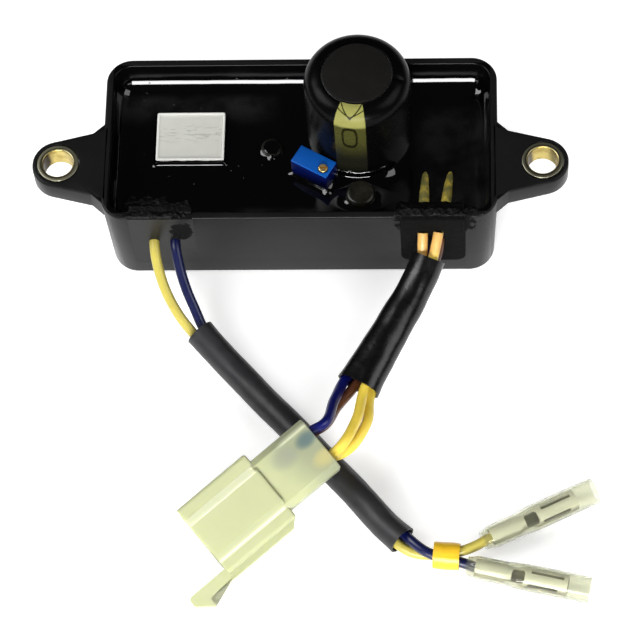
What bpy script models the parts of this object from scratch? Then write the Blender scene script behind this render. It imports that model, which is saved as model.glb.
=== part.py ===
# Automatic voltage regulator of a small generator: a potted plastic tub with two screw ears,
# a circuit board and its parts in black resin, and two wire harnesses that leave its front wall.
# Metres, +Z up. The origin is the middle of the tub's base, and the wires leave towards -Y.

import math

import bmesh
import bpy
from mathutils import Euler, Vector

mm = 0.001

# What touching pieces keep between them
GAP = 0.3 * mm

# Main capacitor, and the space that the tub leaves behind and in front of it
CAPACITOR_X = 13.6 * mm
CAPACITOR_RADIUS = 12.3 * mm
CAPACITOR_HEIGHT = 31.1 * mm
CAPACITOR_SHOULDER = 4.1 * mm
CAPACITOR_BACK_SPACE = 1.4 * mm
CAPACITOR_FRONT_SPACE = 13.4 * mm
SLEEVE_FILM = 0.3 * mm
END_DISC_THICKNESS = 0.6 * mm
CAPACITOR_PIN_RADIUS = 0.8 * mm
CAPACITOR_PIN_SPACING = 10.0 * mm
PIN_REACH = 1.2 * mm

# Tub
WALL = 1.8 * mm
RIM_LENGTH = 91.4 * mm
RIM_WIDTH = 2 * WALL + CAPACITOR_BACK_SPACE + 2 * CAPACITOR_RADIUS + CAPACITOR_FRONT_SPACE
TUB_HEIGHT = 27.0 * mm
DRAFT = 0.8 * mm
CORNER_RADIUS = 6.0 * mm
BASE_EDGE_RADIUS = 1.0 * mm
CAPACITOR_Y = RIM_WIDTH / 2 - WALL - CAPACITOR_BACK_SPACE - CAPACITOR_RADIUS

# Screw ears and their brass bushings
HOLE_SPACING = 112.0 * mm
HOLE_Y = -6.65 * mm
EAR_THICKNESS = 5.5 * mm
EAR_TIP_RADIUS = 6.0 * mm
EAR_SIDE_SLOPE = 0.25
EAR_ROOT_FILLET = 2.2 * mm
EAR_BITE = 0.45 * mm
BUSHING_RADIUS = 4.75 * mm
BUSHING_BORE_RADIUS = 3.45 * mm
BUSHING_CHAMFER = 0.5 * mm
BUSHING_STAND = 0.15 * mm
BUSHING_GAP = 0.2 * mm

# Wire slots in the front wall, each closed by a plug below and by sealant above
SLOT_WIDTH = 15.0 * mm
SLOT_BOTTOM = 5.6 * mm
SLOT_CORNER_RADIUS = 2.5 * mm
LEFT_SLOT_X = -31.8 * mm
RIGHT_SLOT_X = 30.7 * mm
PLUG_TOP = TUB_HEIGHT - 8.4 * mm
PLUG_THICKNESS = 1.5 * mm
SEALANT_TOP = TUB_HEIGHT + 0.1 * mm
SEALANT_REACH_IN = 2.6 * mm
SEALANT_LIP = 1.0 * mm
SEALANT_LUMP = 0.35 * mm

# Potting resin, and the circuit board under it
RESIN_LEVEL = TUB_HEIGHT - 8.0 * mm
MENISCUS = 3.0 * mm
MENISCUS_RISE = 2.7 * mm
MENISCUS_LIP = 0.15 * mm
CAPACITOR_COVE = 2.0 * mm
BOARD_TOP = RESIN_LEVEL - 4.8 * mm
BOARD_THICKNESS = 1.6 * mm
BOARD_EDGE_SPACE = 1.0 * mm
POST_RADIUS = 2.5 * mm
POST_INSET = 6.5 * mm
CAPACITOR_TOP = BOARD_TOP + CAPACITOR_HEIGHT

# Cement resistor
RESISTOR_X = -26.0 * mm
RESISTOR_Y = RIM_WIDTH / 2 - 17.6 * mm
RESISTOR_LENGTH = 16.0 * mm
RESISTOR_WIDTH = 12.9 * mm
RESISTOR_HEIGHT = 6.8 * mm
RESISTOR_WALL = 0.9 * mm
RESISTOR_FILL_DROP = 0.15 * mm

# Trimmer, placed by its bearing and its distance from the main capacitor
TRIMMER_BEARING = math.radians(227.24)
TRIMMER_DISTANCE = CAPACITOR_RADIUS + 3.09 * mm
TRIMMER_X = CAPACITOR_X + TRIMMER_DISTANCE * math.cos(TRIMMER_BEARING)
TRIMMER_Y = CAPACITOR_Y + TRIMMER_DISTANCE * math.sin(TRIMMER_BEARING)
TRIMMER_STANDOFF = 0.7 * mm
TRIMMER_HEADING = math.radians(-29.9)
TRIMMER_LENGTH = 9.53 * mm
TRIMMER_WIDTH = 4.83 * mm
TRIMMER_HEIGHT = 10.0 * mm
SCREW_ALONG = 2.9 * mm
SCREW_ACROSS = -0.6 * mm
SCREW_RADIUS = 1.1 * mm
SCREW_PLAY = 0.12 * mm
SCREW_DEPTH = 1.4 * mm
SCREW_STAND = 0.5 * mm
SCREW_SLOT = 0.5 * mm

# Small can capacitors: x, y, radius, height
SMALL_CAN_RADIUS = 2.5 * mm
FRONT_CAN_RADIUS = 3.5 * mm
FRONT_CAN_Y = CAPACITOR_Y - CAPACITOR_RADIUS - 1.4 * mm - FRONT_CAN_RADIUS
SMALL_CANS = {
    "small_capacitor_left": (-7.0 * mm, RIM_WIDTH / 2 - 19.8 * mm, SMALL_CAN_RADIUS, 5.2 * mm),
    "small_capacitor_front": (CAPACITOR_X + GAP, FRONT_CAN_Y, FRONT_CAN_RADIUS, 6.4 * mm),
}

# Parts with two bent leads, under the resin: x, y, heading, body length, body radius
DIODE_LENGTH = 7.0 * mm
DIODE_RADIUS = 1.75 * mm
FILM_LENGTH = 6.4 * mm
FILM_RADIUS = 1.2 * mm
LEAD_RADIUS = 0.35 * mm
LEAD_REACH = 2.6 * mm
BACK_ROW = RIM_WIDTH / 2 - 6.9 * mm
SECOND_ROW = RIM_WIDTH / 2 - 12.3 * mm
FRONT_ROW = 6.7 * mm - RIM_WIDTH / 2
MIDDLE_ROW = 10.9 * mm - RIM_WIDTH / 2
LEADED_PARTS = {
    "bridge_diode_1": (-33.9 * mm, BACK_ROW, 0.0, DIODE_LENGTH, DIODE_RADIUS, "epoxy"),
    "bridge_diode_2": (-19.6 * mm, BACK_ROW, 0.0, DIODE_LENGTH, DIODE_RADIUS, "epoxy"),
    "bridge_diode_3": (-5.4 * mm, BACK_ROW + 2 * GAP, 0.0, DIODE_LENGTH, DIODE_RADIUS, "epoxy"),
    "bridge_diode_4": (-8.5 * mm, SECOND_ROW, 0.0, DIODE_LENGTH, DIODE_RADIUS, "epoxy"),
    "flyback_diode": (-13.0 * mm, 16.0 * mm - RIM_WIDTH / 2, 90.0, DIODE_LENGTH, DIODE_RADIUS, "epoxy"),
    "divider_resistor_1": (-4.0 * mm, MIDDLE_ROW, 0.0, FILM_LENGTH, FILM_RADIUS, "film"),
    "divider_resistor_2": (-4.0 * mm, FRONT_ROW, 0.0, FILM_LENGTH, FILM_RADIUS, "film"),
    "gate_resistor": (-17.4 * mm, FRONT_ROW, 0.0, FILM_LENGTH, FILM_RADIUS, "film"),
    "zener_diode": (24.0 * mm, 9.4 * mm - RIM_WIDTH / 2, 90.0, FILM_LENGTH, FILM_RADIUS, "film"),
}

# Power transistor, lying flat
TRANSISTOR_X = 35.6 * mm
TRANSISTOR_Y = RIM_WIDTH / 2 - 9.9 * mm
TRANSISTOR_WIDTH = 10.2 * mm
TRANSISTOR_BODY = 9.2 * mm
TRANSISTOR_TAB = 6.2 * mm
TRANSISTOR_HEIGHT = 3.7 * mm
TRANSISTOR_TAB_THICKNESS = 1.3 * mm
TRANSISTOR_LEG = 2.6 * mm
TRANSISTOR_LEG_WIDTH = 0.9 * mm
TRANSISTOR_LEG_PITCH = 2.54 * mm

# Wires, their lanes in a bundle, and the black tubes round them
WIRE_RADIUS = 1.2 * mm
WIRE_SPACING = 5.0 * mm
LANE = WIRE_RADIUS + GAP / 2
TUBE_WALL = 0.45 * mm
TUBE_SIDES = 12

# Routes, in millimetres. Their x is from a slot's middle and their y from the front rim. In the tub and
# at its wall their height is above the board; on the fall to the bundle it is a share of that fall.
# Left pair: middle of the bundle in its black tube, and on to the tape's far end
LEFT_LIE = 6.2 * mm
LEFT_RUN = [
    (8.3, -18.5, 6.2), (13.2, -23.8, 5.0), (19.2, -30.4, 4.1), (32.0, -44.2, 3.8), (44.8, -58.4, 3.8),
    (55.5, -70.1, 3.8),
]
LEFT_TAPE_RUN = [(57.7, -71.8, 3.8), (60.1, -73.0, 3.8), (62.7, -73.6, 3.8), (65.4, -73.9, 3.8), (68.6, -74.1, 3.8)]
LEFT_YELLOW_IN = [(-2.2, 13.0, 1.5), (-2.2, 7.5, 1.5), (-2.2, 1.9, 1.6), (-2.1, -0.9, 1.2)]
LEFT_YELLOW_FALL = [(-1.4, -4.7, 0.737), (0.4, -9.7, 0.442), (3.5, -14.9, 0.179)]
LEFT_YELLOW_TURN = [(71.6, -71.6, 3.7)]
LEFT_BLUE_IN = [(2.6, 13.0, 1.5), (2.6, 7.5, 1.5), (2.6, 1.9, 1.6), (2.8, -0.9, 1.3)]
LEFT_BLUE_FALL = [(3.6, -4.7, 0.768), (5.2, -9.5, 0.484), (7.3, -13.9, 0.242)]

# Right four: middle of the bundle along the black tube, as a fall
RIGHT_LIE = 9.9 * mm
RIGHT_RUN = [
    (-1.0, -4.1, 0.983), (-2.7, -7.7, 0.655), (-5.3, -12.7, 0.397), (-8.7, -18.7, 0.207),
    (-12.9, -26.5, 0.069), (-17.2, -34.4, 0.0),
]
RIGHT_FREE = (-19.5, -40.9, 12.4)
FREE_LANE = 2.4 * mm
RIGHT_YELLOW_A_IN = [
    (-0.1, 19.5, 1.5), (-0.3, 17.3, 3.0), (-0.6, 14.3, 5.3), (-1.2, 10.5, 7.2), (-1.8, 6.0, 8.1),
    (-2.2, 2.2, 7.7), (-2.3, -0.3, 6.4), (-2.4, -2.3, 4.6),
]
RIGHT_YELLOW_B_IN = [
    (4.2, 19.5, 1.5), (4.0, 17.3, 3.0), (3.6, 14.3, 5.3), (3.0, 10.5, 7.2), (2.3, 6.0, 8.1),
    (1.6, 2.2, 7.7), (1.3, -0.3, 6.5), (0.7, -2.8, 4.6),
]
RIGHT_BLUE_IN = [(-2.2, 13.0, 1.5), (-2.2, 7.5, 1.5), (-2.2, 2.1, 1.9), (-2.2, -0.1, 1.7), (-2.1, -1.5, 1.1)]
RIGHT_BROWN_IN = [(1.5, 13.0, 1.5), (1.5, 7.5, 1.5), (1.5, 2.1, 1.9), (1.4, -0.3, 1.7), (1.1, -2.2, 1.0)]

# Yellow tape round the left pair
TAPE_MIDDLE = LEFT_TAPE_RUN[3]
TAPE_HEADING = math.radians(-5.0)
TAPE_LENGTH = 6.0 * mm
TAPE_THICKNESS = 0.35 * mm

# Bullet sockets and their clear covers: where each socket's wire end lies, and its heading
SOCKET_Z = 3.6
UPPER_SOCKET = ((75.4, -69.3, SOCKET_Z), math.radians(26.1))
LOWER_SOCKET = ((71.9, -76.6, SOCKET_Z), math.radians(-12.4))
SOCKET_LENGTH = 21.0 * mm
BARREL_LENGTH = 10.2 * mm
CRIMP_LENGTH = 6.6 * mm
BARREL_RADIUS = 2.4 * mm
BARREL_BORE = 2.0 * mm
CRIMP_RADIUS = 2.05 * mm
NECK_RADIUS = 1.75 * mm
NECK_BORE = 1.2 * mm
SOCKET_SLIT = 0.5 * mm
WINDOW_WIDTH = 2.0 * mm
WIRE_IN_CRIMP = 5.8 * mm
COVER_WALL = 0.35 * mm
COVER_AT_WIRE = 2.0 * mm
COVER_AT_MOUTH = 5.0 * mm

# Connector, in its own frame: +X to its mouth, its wire end at the origin
CONNECTOR_PLACE = (-25.2, -51.5, 14.85)
CELL_LEAD = 4.5 * mm
CONNECTOR_HEADING = math.radians(219.2)
CONNECTOR_TILT = math.radians(10.3)
CONNECTOR_ROLL = math.radians(-17.4)
NECK_LENGTH = 14.7 * mm
NECK_WIDTH = 14.0 * mm
NECK_HEIGHT = 10.4 * mm
NECK_CHAMFER = 1.5 * mm
SHROUD_LENGTH = 19.6 * mm
SHROUD_WIDTH = 18.3 * mm
SHROUD_HEIGHT = 12.2 * mm
SHROUD_CROWN_WIDTH = 8.8 * mm
SHROUD_BEVEL = 1.7 * mm
SHROUD_SHELF_DROP = 1.6 * mm
SHROUD_WALL = 1.3 * mm
SHROUD_CORNER = 1.0 * mm
DIVIDER = 2.6 * mm
COLUMN_OFFSET = 3.6 * mm
ROW_OFFSET = 2.3 * mm
CELL_WIDTH = 5.2 * mm
CELL_HEIGHT = 3.4 * mm
BLADE_WIDTH = 4.8 * mm
BLADE_THICKNESS = 0.8 * mm
BLADE_FREE = 13.0 * mm
CRIMP_AT = 5.0 * mm
BLADE_CRIMP_LENGTH = 4.0 * mm
BLADE_CRIMP_RADIUS = 1.4 * mm
WIRE_IN_CELL = 4.6 * mm
ARM_THICKNESS = 2.2 * mm
ARM_BITE = 0.8 * mm
ARM_HEIGHT = 4.2 * mm
ARM_START = 0.6 * mm
ARM_REACH = 11.4 * mm
HOOK_BARB = 2.6 * mm
HOOK_BACK = 4.5 * mm

# Facets
ROUND_STEPS = 32
SMALL_STEPS = 20
ARC_STEPS = 4

FINISHES = {
    "tub_plastic": ((0.012, 0.012, 0.013), 0.42, 0.0),
    "brass": ((0.60, 0.36, 0.10), 0.30, 1.0),
    "plug_rubber": ((0.014, 0.014, 0.015), 0.60, 0.0),
    "sealant": ((0.006, 0.006, 0.006), 0.35, 0.0),
    "board": ((0.02, 0.09, 0.04), 0.50, 0.0),
    "resin": ((0.003, 0.003, 0.004), 0.08, 0.0),
    "can": ((0.60, 0.60, 0.60), 0.30, 1.0),
    "film_black": ((0.008, 0.008, 0.008), 0.15, 0.0),
    "disc_black": ((0.020, 0.019, 0.018), 0.60, 0.0),
    "ceramic": ((0.78, 0.78, 0.74), 0.50, 0.0),
    "cement": ((0.62, 0.62, 0.58), 0.80, 0.0),
    "trimmer_blue": ((0.01, 0.10, 0.45), 0.30, 0.0),
    "epoxy": ((0.02, 0.02, 0.02), 0.40, 0.0),
    "film": ((0.20, 0.35, 0.50), 0.40, 0.0),
    "wire_yellow": ((0.85, 0.62, 0.08), 0.40, 0.0),
    "wire_blue": ((0.01, 0.01, 0.20), 0.35, 0.0),
    "wire_brown": ((0.16, 0.05, 0.02), 0.40, 0.0),
    "tube_black": ((0.010, 0.010, 0.011), 0.35, 0.0),
    "tape_yellow": ((0.90, 0.60, 0.02), 0.40, 0.0),
    "tin": ((0.70, 0.69, 0.64), 0.25, 1.0),
    "cover_clear": ((0.85, 0.85, 0.68), 0.20, 0.0),
    "nylon": ((0.72, 0.76, 0.56), 0.35, 0.0),
}


def start_clean():
    for thing in list(bpy.data.objects):
        bpy.data.objects.remove(thing)
    for name in ("voltage_regulator", "cutters"):
        group = bpy.data.collections.new(name)
        bpy.context.scene.collection.children.link(group)
    return bpy.data.collections["voltage_regulator"], bpy.data.collections["cutters"]


PARTS, CUTTERS = start_clean()


def finish(name):
    if name in bpy.data.materials:
        return bpy.data.materials[name]
    colour, roughness, metallic = FINISHES[name]
    material = bpy.data.materials.new(name)
    material.use_nodes = True
    shader = material.node_tree.nodes["Principled BSDF"]
    shader.inputs["Base Color"].default_value = (*colour, 1.0)
    shader.inputs["Roughness"].default_value = roughness
    shader.inputs["Metallic"].default_value = metallic
    return material


def place(data, name, material, location=(0.0, 0.0, 0.0), rotation=None, parent=None):
    """A new object: one of the parts where it has a material, otherwise a cutter."""
    thing = bpy.data.objects.new(name, data)
    thing.location = location
    if rotation is not None:
        thing.rotation_euler = rotation
    thing.parent = parent
    if material:
        data.materials.append(finish(material))
        PARTS.objects.link(thing)
    else:
        CUTTERS.objects.link(thing)
        thing.hide_render = True
        thing.display_type = "WIRE"
    return thing


def mesh_of(bm, name):
    bmesh.ops.recalc_face_normals(bm, faces=bm.faces)
    mesh = bpy.data.meshes.new(name)
    bm.to_mesh(mesh)
    bm.free()
    return mesh


def smooth(thing, degrees=40.0):
    thing.data.shade_smooth()
    thing.data.set_sharp_from_angle(angle=math.radians(degrees))
    return thing


def boolean(target, tool, operation="DIFFERENCE"):
    modifier = target.modifiers.new(tool.name, "BOOLEAN")
    modifier.operation = operation
    modifier.object = tool
    modifier.solver = "EXACT"
    return target


def block(name, low, high, material=None, parent=None, bevel=0.0):
    """A box from its low corner to its high corner."""
    low, high = Vector(low), Vector(high)
    bm = bmesh.new()
    bmesh.ops.create_cube(bm, size=1.0)
    bmesh.ops.scale(bm, vec=high - low, verts=bm.verts)
    if bevel:
        bmesh.ops.bevel(bm, geom=bm.edges, offset=bevel, segments=2, profile=0.5, affect="EDGES")
    return place(mesh_of(bm, name), name, material, location=(low + high) / 2, parent=parent)


def cylinder(name, centre, radius, low, high, material=None, parent=None, steps=SMALL_STEPS):
    """An upright cylinder, centred on a point of the ground plan."""
    bm = bmesh.new()
    bmesh.ops.create_cone(bm, cap_ends=True, segments=steps, radius1=radius, radius2=radius,
                          depth=high - low)
    spot = (centre[0], centre[1], (low + high) / 2)
    return smooth(place(mesh_of(bm, name), name, material, location=spot, parent=parent))


def turned(name, profile, material=None, location=(0.0, 0.0, 0.0), rotation=None, parent=None,
           steps=ROUND_STEPS, ring=False):
    """A profile of (radius, height) points, top to bottom down its outer side, turned about Z."""
    bm = bmesh.new()
    dots = [bm.verts.new((radius, 0.0, height)) for radius, height in profile]
    for first, second in zip(dots, dots[1:]):
        bm.edges.new((first, second))
    if ring:
        bm.edges.new((dots[-1], dots[0]))
    mesh = bpy.data.meshes.new(name)
    bm.to_mesh(mesh)
    bm.free()
    thing = place(mesh, name, material, location, rotation, parent)
    screw = thing.modifiers.new("turn", "SCREW")
    screw.steps = steps
    screw.render_steps = steps
    screw.use_merge_vertices = True
    screw.merge_threshold = 0.00001
    return thing


def rounded_outline(corners):
    """Outline through (x, y, radius) corners, each rounded by an arc of its own radius."""
    points = []
    count = len(corners)
    for i, (x, y, radius) in enumerate(corners):
        corner = Vector((x, y))
        if radius == 0.0:
            points.append(corner)
            continue
        before = (Vector(corners[i - 1][:2]) - corner).normalized()
        after = (Vector(corners[(i + 1) % count][:2]) - corner).normalized()
        half = before.angle(after) / 2
        middle = corner + (before + after).normalized() * radius / math.sin(half)
        first = corner + before * radius / math.tan(half) - middle
        last = corner + after * radius / math.tan(half) - middle
        turn = first.angle_signed(last)
        steps = max(2, round(abs(turn) / math.radians(18)))
        for k in range(steps + 1):
            angle = -turn * k / steps
            swung = Vector((first.x * math.cos(angle) - first.y * math.sin(angle),
                            first.x * math.sin(angle) + first.y * math.cos(angle)))
            points.append(middle + swung)
    return points


def meshed(curve_object):
    """The curve's solid as a mesh object of the same name, with its caps welded on."""
    bpy.context.view_layer.update()
    graph = bpy.context.evaluated_depsgraph_get()
    mesh = bpy.data.meshes.new_from_object(curve_object.evaluated_get(graph))
    bm = bmesh.new()
    bm.from_mesh(mesh)
    bmesh.ops.remove_doubles(bm, verts=bm.verts, dist=0.000001)
    bm.to_mesh(mesh)
    bm.free()
    name = curve_object.name
    group = curve_object.users_collection[0]
    parent = curve_object.parent
    solid = bpy.data.objects.new(name + "_solid", mesh)
    solid.parent = parent
    solid.matrix_local = curve_object.matrix_local
    solid.hide_render = curve_object.hide_render
    solid.display_type = curve_object.display_type
    group.objects.link(solid)
    bpy.data.objects.remove(curve_object)
    solid.name = name
    return solid


def plate(name, points, thickness, material=None, location=(0.0, 0.0, 0.0), rotation=None, parent=None):
    """A flat outline, extruded by half the thickness to each side of its plane."""
    curve = bpy.data.curves.new(name, "CURVE")
    curve.dimensions = "2D"
    curve.fill_mode = "BOTH"
    curve.extrude = thickness / 2
    spline = curve.splines.new("POLY")
    spline.points.add(len(points) - 1)
    for dot, point in zip(spline.points, points):
        dot.co = (point[0], point[1], 0.0, 1.0)
    spline.use_cyclic_u = True
    return meshed(place(curve, name, material, location, rotation, parent))


def rod(name, points, radius, material=None, parent=None, resolution=2, caps=True):
    """A round rod along the points, as a curve."""
    curve = bpy.data.curves.new(name, "CURVE")
    curve.dimensions = "3D"
    curve.bevel_depth = radius
    curve.bevel_resolution = resolution
    curve.use_fill_caps = caps
    spline = curve.splines.new("POLY")
    spline.points.add(len(points) - 1)
    for dot, point in zip(spline.points, points):
        dot.co = (*point, 1.0)
    return place(curve, name, material, parent=parent)


def outer_half(size, z):
    """Half of the tub's length or width at height z: its walls lean out towards the rim."""
    return size / 2 - DRAFT * (1.0 - z / TUB_HEIGHT)


def tub_shape(name, inset, low, high, material=None, edge_radius=0.0):
    """A block that follows the tub's walls at a constant inset."""
    bm = bmesh.new()
    bmesh.ops.create_cube(bm, size=2.0)
    for dot in bm.verts:
        z = high if dot.co.z > 0 else low
        dot.co.x *= outer_half(RIM_LENGTH, z) - inset
        dot.co.y *= outer_half(RIM_WIDTH, z) - inset
        dot.co.z = z
    uprights = [edge for edge in bm.edges if abs(edge.verts[0].co.z - edge.verts[1].co.z) > 0.5 * (high - low)]
    bmesh.ops.bevel(bm, geom=uprights, offset=max(CORNER_RADIUS - inset, WALL), segments=6, profile=0.5,
                    affect="EDGES")
    if edge_radius:
        floor = [edge for edge in bm.edges if all(abs(dot.co.z - low) < 0.01 * mm for dot in edge.verts)]
        bmesh.ops.bevel(bm, geom=floor, offset=edge_radius, segments=ARC_STEPS, profile=0.5, affect="EDGES",
                        clamp_overlap=True)
    return place(mesh_of(bm, name), name, material)


def ear_outline():
    """The right ear from above: it narrows from the wall to a round tip, with a fillet at each root."""
    root_x = RIM_LENGTH / 2 - EAR_BITE
    tip_x = HOLE_SPACING / 2 + EAR_TIP_RADIUS
    slope = math.atan(EAR_SIDE_SLOPE)
    tip_half = EAR_TIP_RADIUS * math.tan(math.radians(45.0) - slope / 2) * 1.02
    root_half = tip_half + EAR_SIDE_SLOPE * (tip_x - root_x)
    anchor_half = root_half + EAR_ROOT_FILLET * 0.85
    inner_x = root_x - WALL / 2
    upper = [
        (inner_x, anchor_half, 0.0), (root_x, anchor_half, 0.0), (root_x, root_half, EAR_ROOT_FILLET),
        (tip_x, tip_half, EAR_TIP_RADIUS),
    ]
    lower = [(x, -y, radius) for x, y, radius in reversed(upper)]
    return [(point.x, point.y + HOLE_Y) for point in rounded_outline(upper + lower)]


def slot_outline(inset, top):
    """A wire slot seen from the front, with rounded lower corners."""
    half = SLOT_WIDTH / 2 - inset
    low = SLOT_BOTTOM + inset
    radius = SLOT_CORNER_RADIUS - inset
    return rounded_outline([(-half, top, 0.0), (-half, low, radius), (half, low, radius), (half, top, 0.0)])


def post_spots():
    x = outer_half(RIM_LENGTH, 0.0) - POST_INSET
    y = outer_half(RIM_WIDTH, 0.0) - POST_INSET
    return [(sx * x, sy * y) for sx in (-1, 1) for sy in (-1, 1)]


def make_tub():
    tub = tub_shape("housing", 0.0, 0.0, TUB_HEIGHT, "tub_plastic", BASE_EDGE_RADIUS)
    ear_middle = TUB_HEIGHT - EAR_THICKNESS / 2
    outline = ear_outline()
    for side, name in ((1, "ear_right"), (-1, "ear_left")):
        points = [(side * x, y) for x, y in outline]
        ear = plate(name, points[::side], EAR_THICKNESS, location=(0.0, 0.0, ear_middle))
        boolean(tub, ear, "UNION")
    boolean(tub, tub_shape("tub_pocket", WALL, WALL, TUB_HEIGHT + WALL))
    for side in (-1, 1):
        hole = cylinder("bushing_hole", (side * HOLE_SPACING / 2, HOLE_Y), BUSHING_RADIUS + BUSHING_GAP,
                        TUB_HEIGHT - 2 * EAR_THICKNESS, TUB_HEIGHT + WALL, steps=ROUND_STEPS)
        boolean(tub, hole)
    for x in (LEFT_SLOT_X, RIGHT_SLOT_X):
        wall_y = -outer_half(RIM_WIDTH, TUB_HEIGHT / 2) + WALL / 2
        slot = plate("wire_slot", slot_outline(0.0, TUB_HEIGHT + WALL), 3 * WALL,
                     location=(x, wall_y, 0.0), rotation=(math.radians(90.0), 0.0, 0.0))
        boolean(tub, slot)
    for spot in post_spots():
        post = cylinder("board_post", spot, POST_RADIUS, WALL / 2, BOARD_TOP - BOARD_THICKNESS - GAP, steps=12)
        boolean(tub, post, "UNION")
    return tub


def make_bushings():
    low = TUB_HEIGHT - EAR_THICKNESS - BUSHING_STAND
    high = TUB_HEIGHT + BUSHING_STAND
    cut = BUSHING_CHAMFER
    profile = [
        (BUSHING_RADIUS - cut / 2, high), (BUSHING_RADIUS, high - cut / 2), (BUSHING_RADIUS, low),
        (BUSHING_BORE_RADIUS + cut, low), (BUSHING_BORE_RADIUS, low + cut), (BUSHING_BORE_RADIUS, high - cut),
        (BUSHING_BORE_RADIUS + cut, high),
    ]
    for side, name in ((-1, "bushing_left"), (1, "bushing_right")):
        turned(name, profile, "brass", (side * HOLE_SPACING / 2, HOLE_Y, 0.0), ring=True)


def front_wall_face():
    """Y of the wall's outer face half way up the plugs."""
    return -outer_half(RIM_WIDTH, (SLOT_BOTTOM + PLUG_TOP) / 2)


def make_plug(name, x, wire_tools):
    y = front_wall_face() + WALL / 2
    plug = plate(name, slot_outline(GAP, PLUG_TOP), PLUG_THICKNESS, "plug_rubber", (x, y, 0.0),
                 (math.radians(90.0), 0.0, 0.0))
    for tool in wire_tools:
        boolean(plug, tool)
    return plug


def make_sealant(name, x, wire_tools):
    """A lumpy bead that closes the slot above its plug, laps over the wall and runs on to the resin."""
    half = SLOT_WIDTH / 2 - GAP
    low_y = front_wall_face() - SEALANT_LIP
    high_y = front_wall_face() + WALL + GAP + SEALANT_REACH_IN
    low_z = PLUG_TOP + GAP
    bm = bmesh.new()
    bmesh.ops.create_cube(bm, size=2.0)
    bmesh.ops.subdivide_edges(bm, edges=bm.edges[:], cuts=5, use_grid_fill=True)
    for dot in bm.verts:
        u, v, w = dot.co
        ripple = math.sin(5.1 * u + 1.7 * v + x * 90.0) * math.cos(3.4 * u - 2.3 * w)
        top_z = SEALANT_TOP - 1.6 * mm * max(0.0, v) ** 2 - 0.9 * mm * max(0.0, -v) ** 3
        px = u * half
        py = (low_y + high_y) / 2 + v * (high_y - low_y) / 2
        pz = low_z + (w + 1.0) / 2 * (top_z - low_z)
        free = (w + 1.0) / 2
        py += free * v * ripple * SEALANT_LUMP
        pz += free * ripple * SEALANT_LUMP
        dot.co = (px, py, pz)
    bead = smooth(place(mesh_of(bm, name), name, "sealant", location=(x, 0.0, 0.0)))
    for tool in wire_tools:
        boolean(bead, tool)
    return bead


def make_board():
    low = BOARD_TOP - BOARD_THICKNESS
    half_x = outer_half(RIM_LENGTH, low) - WALL - BOARD_EDGE_SPACE
    half_y = outer_half(RIM_WIDTH, low) - WALL - BOARD_EDGE_SPACE
    radius = CORNER_RADIUS - WALL
    outline = rounded_outline([(-half_x, -half_y, radius), (half_x, -half_y, radius),
                               (half_x, half_y, radius), (-half_x, half_y, radius)])
    board = plate("circuit_board", outline, BOARD_THICKNESS, "board", (0.0, 0.0, BOARD_TOP - BOARD_THICKNESS / 2))
    for spot in capacitor_pin_spots():
        boolean(board, cylinder("pin_hole", spot, CAPACITOR_PIN_RADIUS + GAP, low - WALL, BOARD_TOP + WALL,
                                steps=8))
    return board


def capacitor_pin_spots():
    return [(CAPACITOR_X + side * CAPACITOR_PIN_SPACING / 2, CAPACITOR_Y) for side in (-1, 1)]


def shoulder(radius, corner, top):
    """Quarter round from the flat top to the side, as (radius, height) points going down."""
    points = []
    for k in range(ARC_STEPS + 1):
        angle = math.radians(90.0) * (1.0 - k / ARC_STEPS)
        points.append((radius - corner + corner * math.cos(angle), top - corner + corner * math.sin(angle)))
    return points


def make_capacitor():
    """Can with two pins, the film shrunk round it and over its shoulder, and the disc on its end."""
    spot = (CAPACITOR_X, CAPACITOR_Y, 0.0)
    seat = BOARD_TOP + GAP
    film_top = CAPACITOR_TOP - GAP
    can_radius = CAPACITOR_RADIUS - SLEEVE_FILM - GAP
    can_top = film_top - SLEEVE_FILM - GAP
    inner_corner = CAPACITOR_SHOULDER - SLEEVE_FILM
    can_profile = [(0.0, can_top)] + shoulder(can_radius, inner_corner - GAP, can_top)
    can_profile += [(can_radius, seat), (0.0, seat)]
    can = turned("capacitor_can", can_profile, "can", spot)
    for x, y in capacitor_pin_spots():
        pin = cylinder("capacitor_pin", (x, y), CAPACITOR_PIN_RADIUS, BOARD_TOP - BOARD_THICKNESS - PIN_REACH,
                       seat + WALL, steps=8)
        boolean(can, pin, "UNION")
    film = shoulder(CAPACITOR_RADIUS, CAPACITOR_SHOULDER, film_top) + [(CAPACITOR_RADIUS, seat)]
    film_radius = CAPACITOR_RADIUS - SLEEVE_FILM
    inside = shoulder(film_radius, inner_corner, film_top - SLEEVE_FILM) + [(film_radius, seat)]
    turned("capacitor_sleeve", film + inside[::-1], "film_black", spot, ring=True)
    disc_radius = CAPACITOR_RADIUS - CAPACITOR_SHOULDER - GAP
    disc_low = can_top + GAP
    cylinder("capacitor_end_disc", spot, disc_radius, disc_low, disc_low + END_DISC_THICKNESS, "disc_black",
             steps=ROUND_STEPS)


def make_resistor():
    """Ceramic trough, open upwards, and the cement that fills it."""
    seat = BOARD_TOP + GAP
    top = seat + RESISTOR_HEIGHT
    half = Vector((RESISTOR_LENGTH / 2, RESISTOR_WIDTH / 2, 0.0))
    middle = Vector((RESISTOR_X, RESISTOR_Y, 0.0))
    case = block("resistor_case", middle - half + Vector((0, 0, seat)), middle + half + Vector((0, 0, top)),
                 "ceramic", bevel=0.2 * mm)
    inner = half - Vector((RESISTOR_WALL, RESISTOR_WALL, 0.0))
    floor = seat + RESISTOR_WALL
    trough = block("resistor_trough", middle - inner + Vector((0, 0, floor)),
                   middle + inner + Vector((0, 0, top + WALL)))
    boolean(case, trough)
    core = inner - Vector((GAP, GAP, 0.0)) / 2
    block("resistor_cement", middle - core + Vector((0, 0, floor + GAP)),
          middle + core + Vector((0, 0, top - RESISTOR_FILL_DROP)), "cement")


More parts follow.
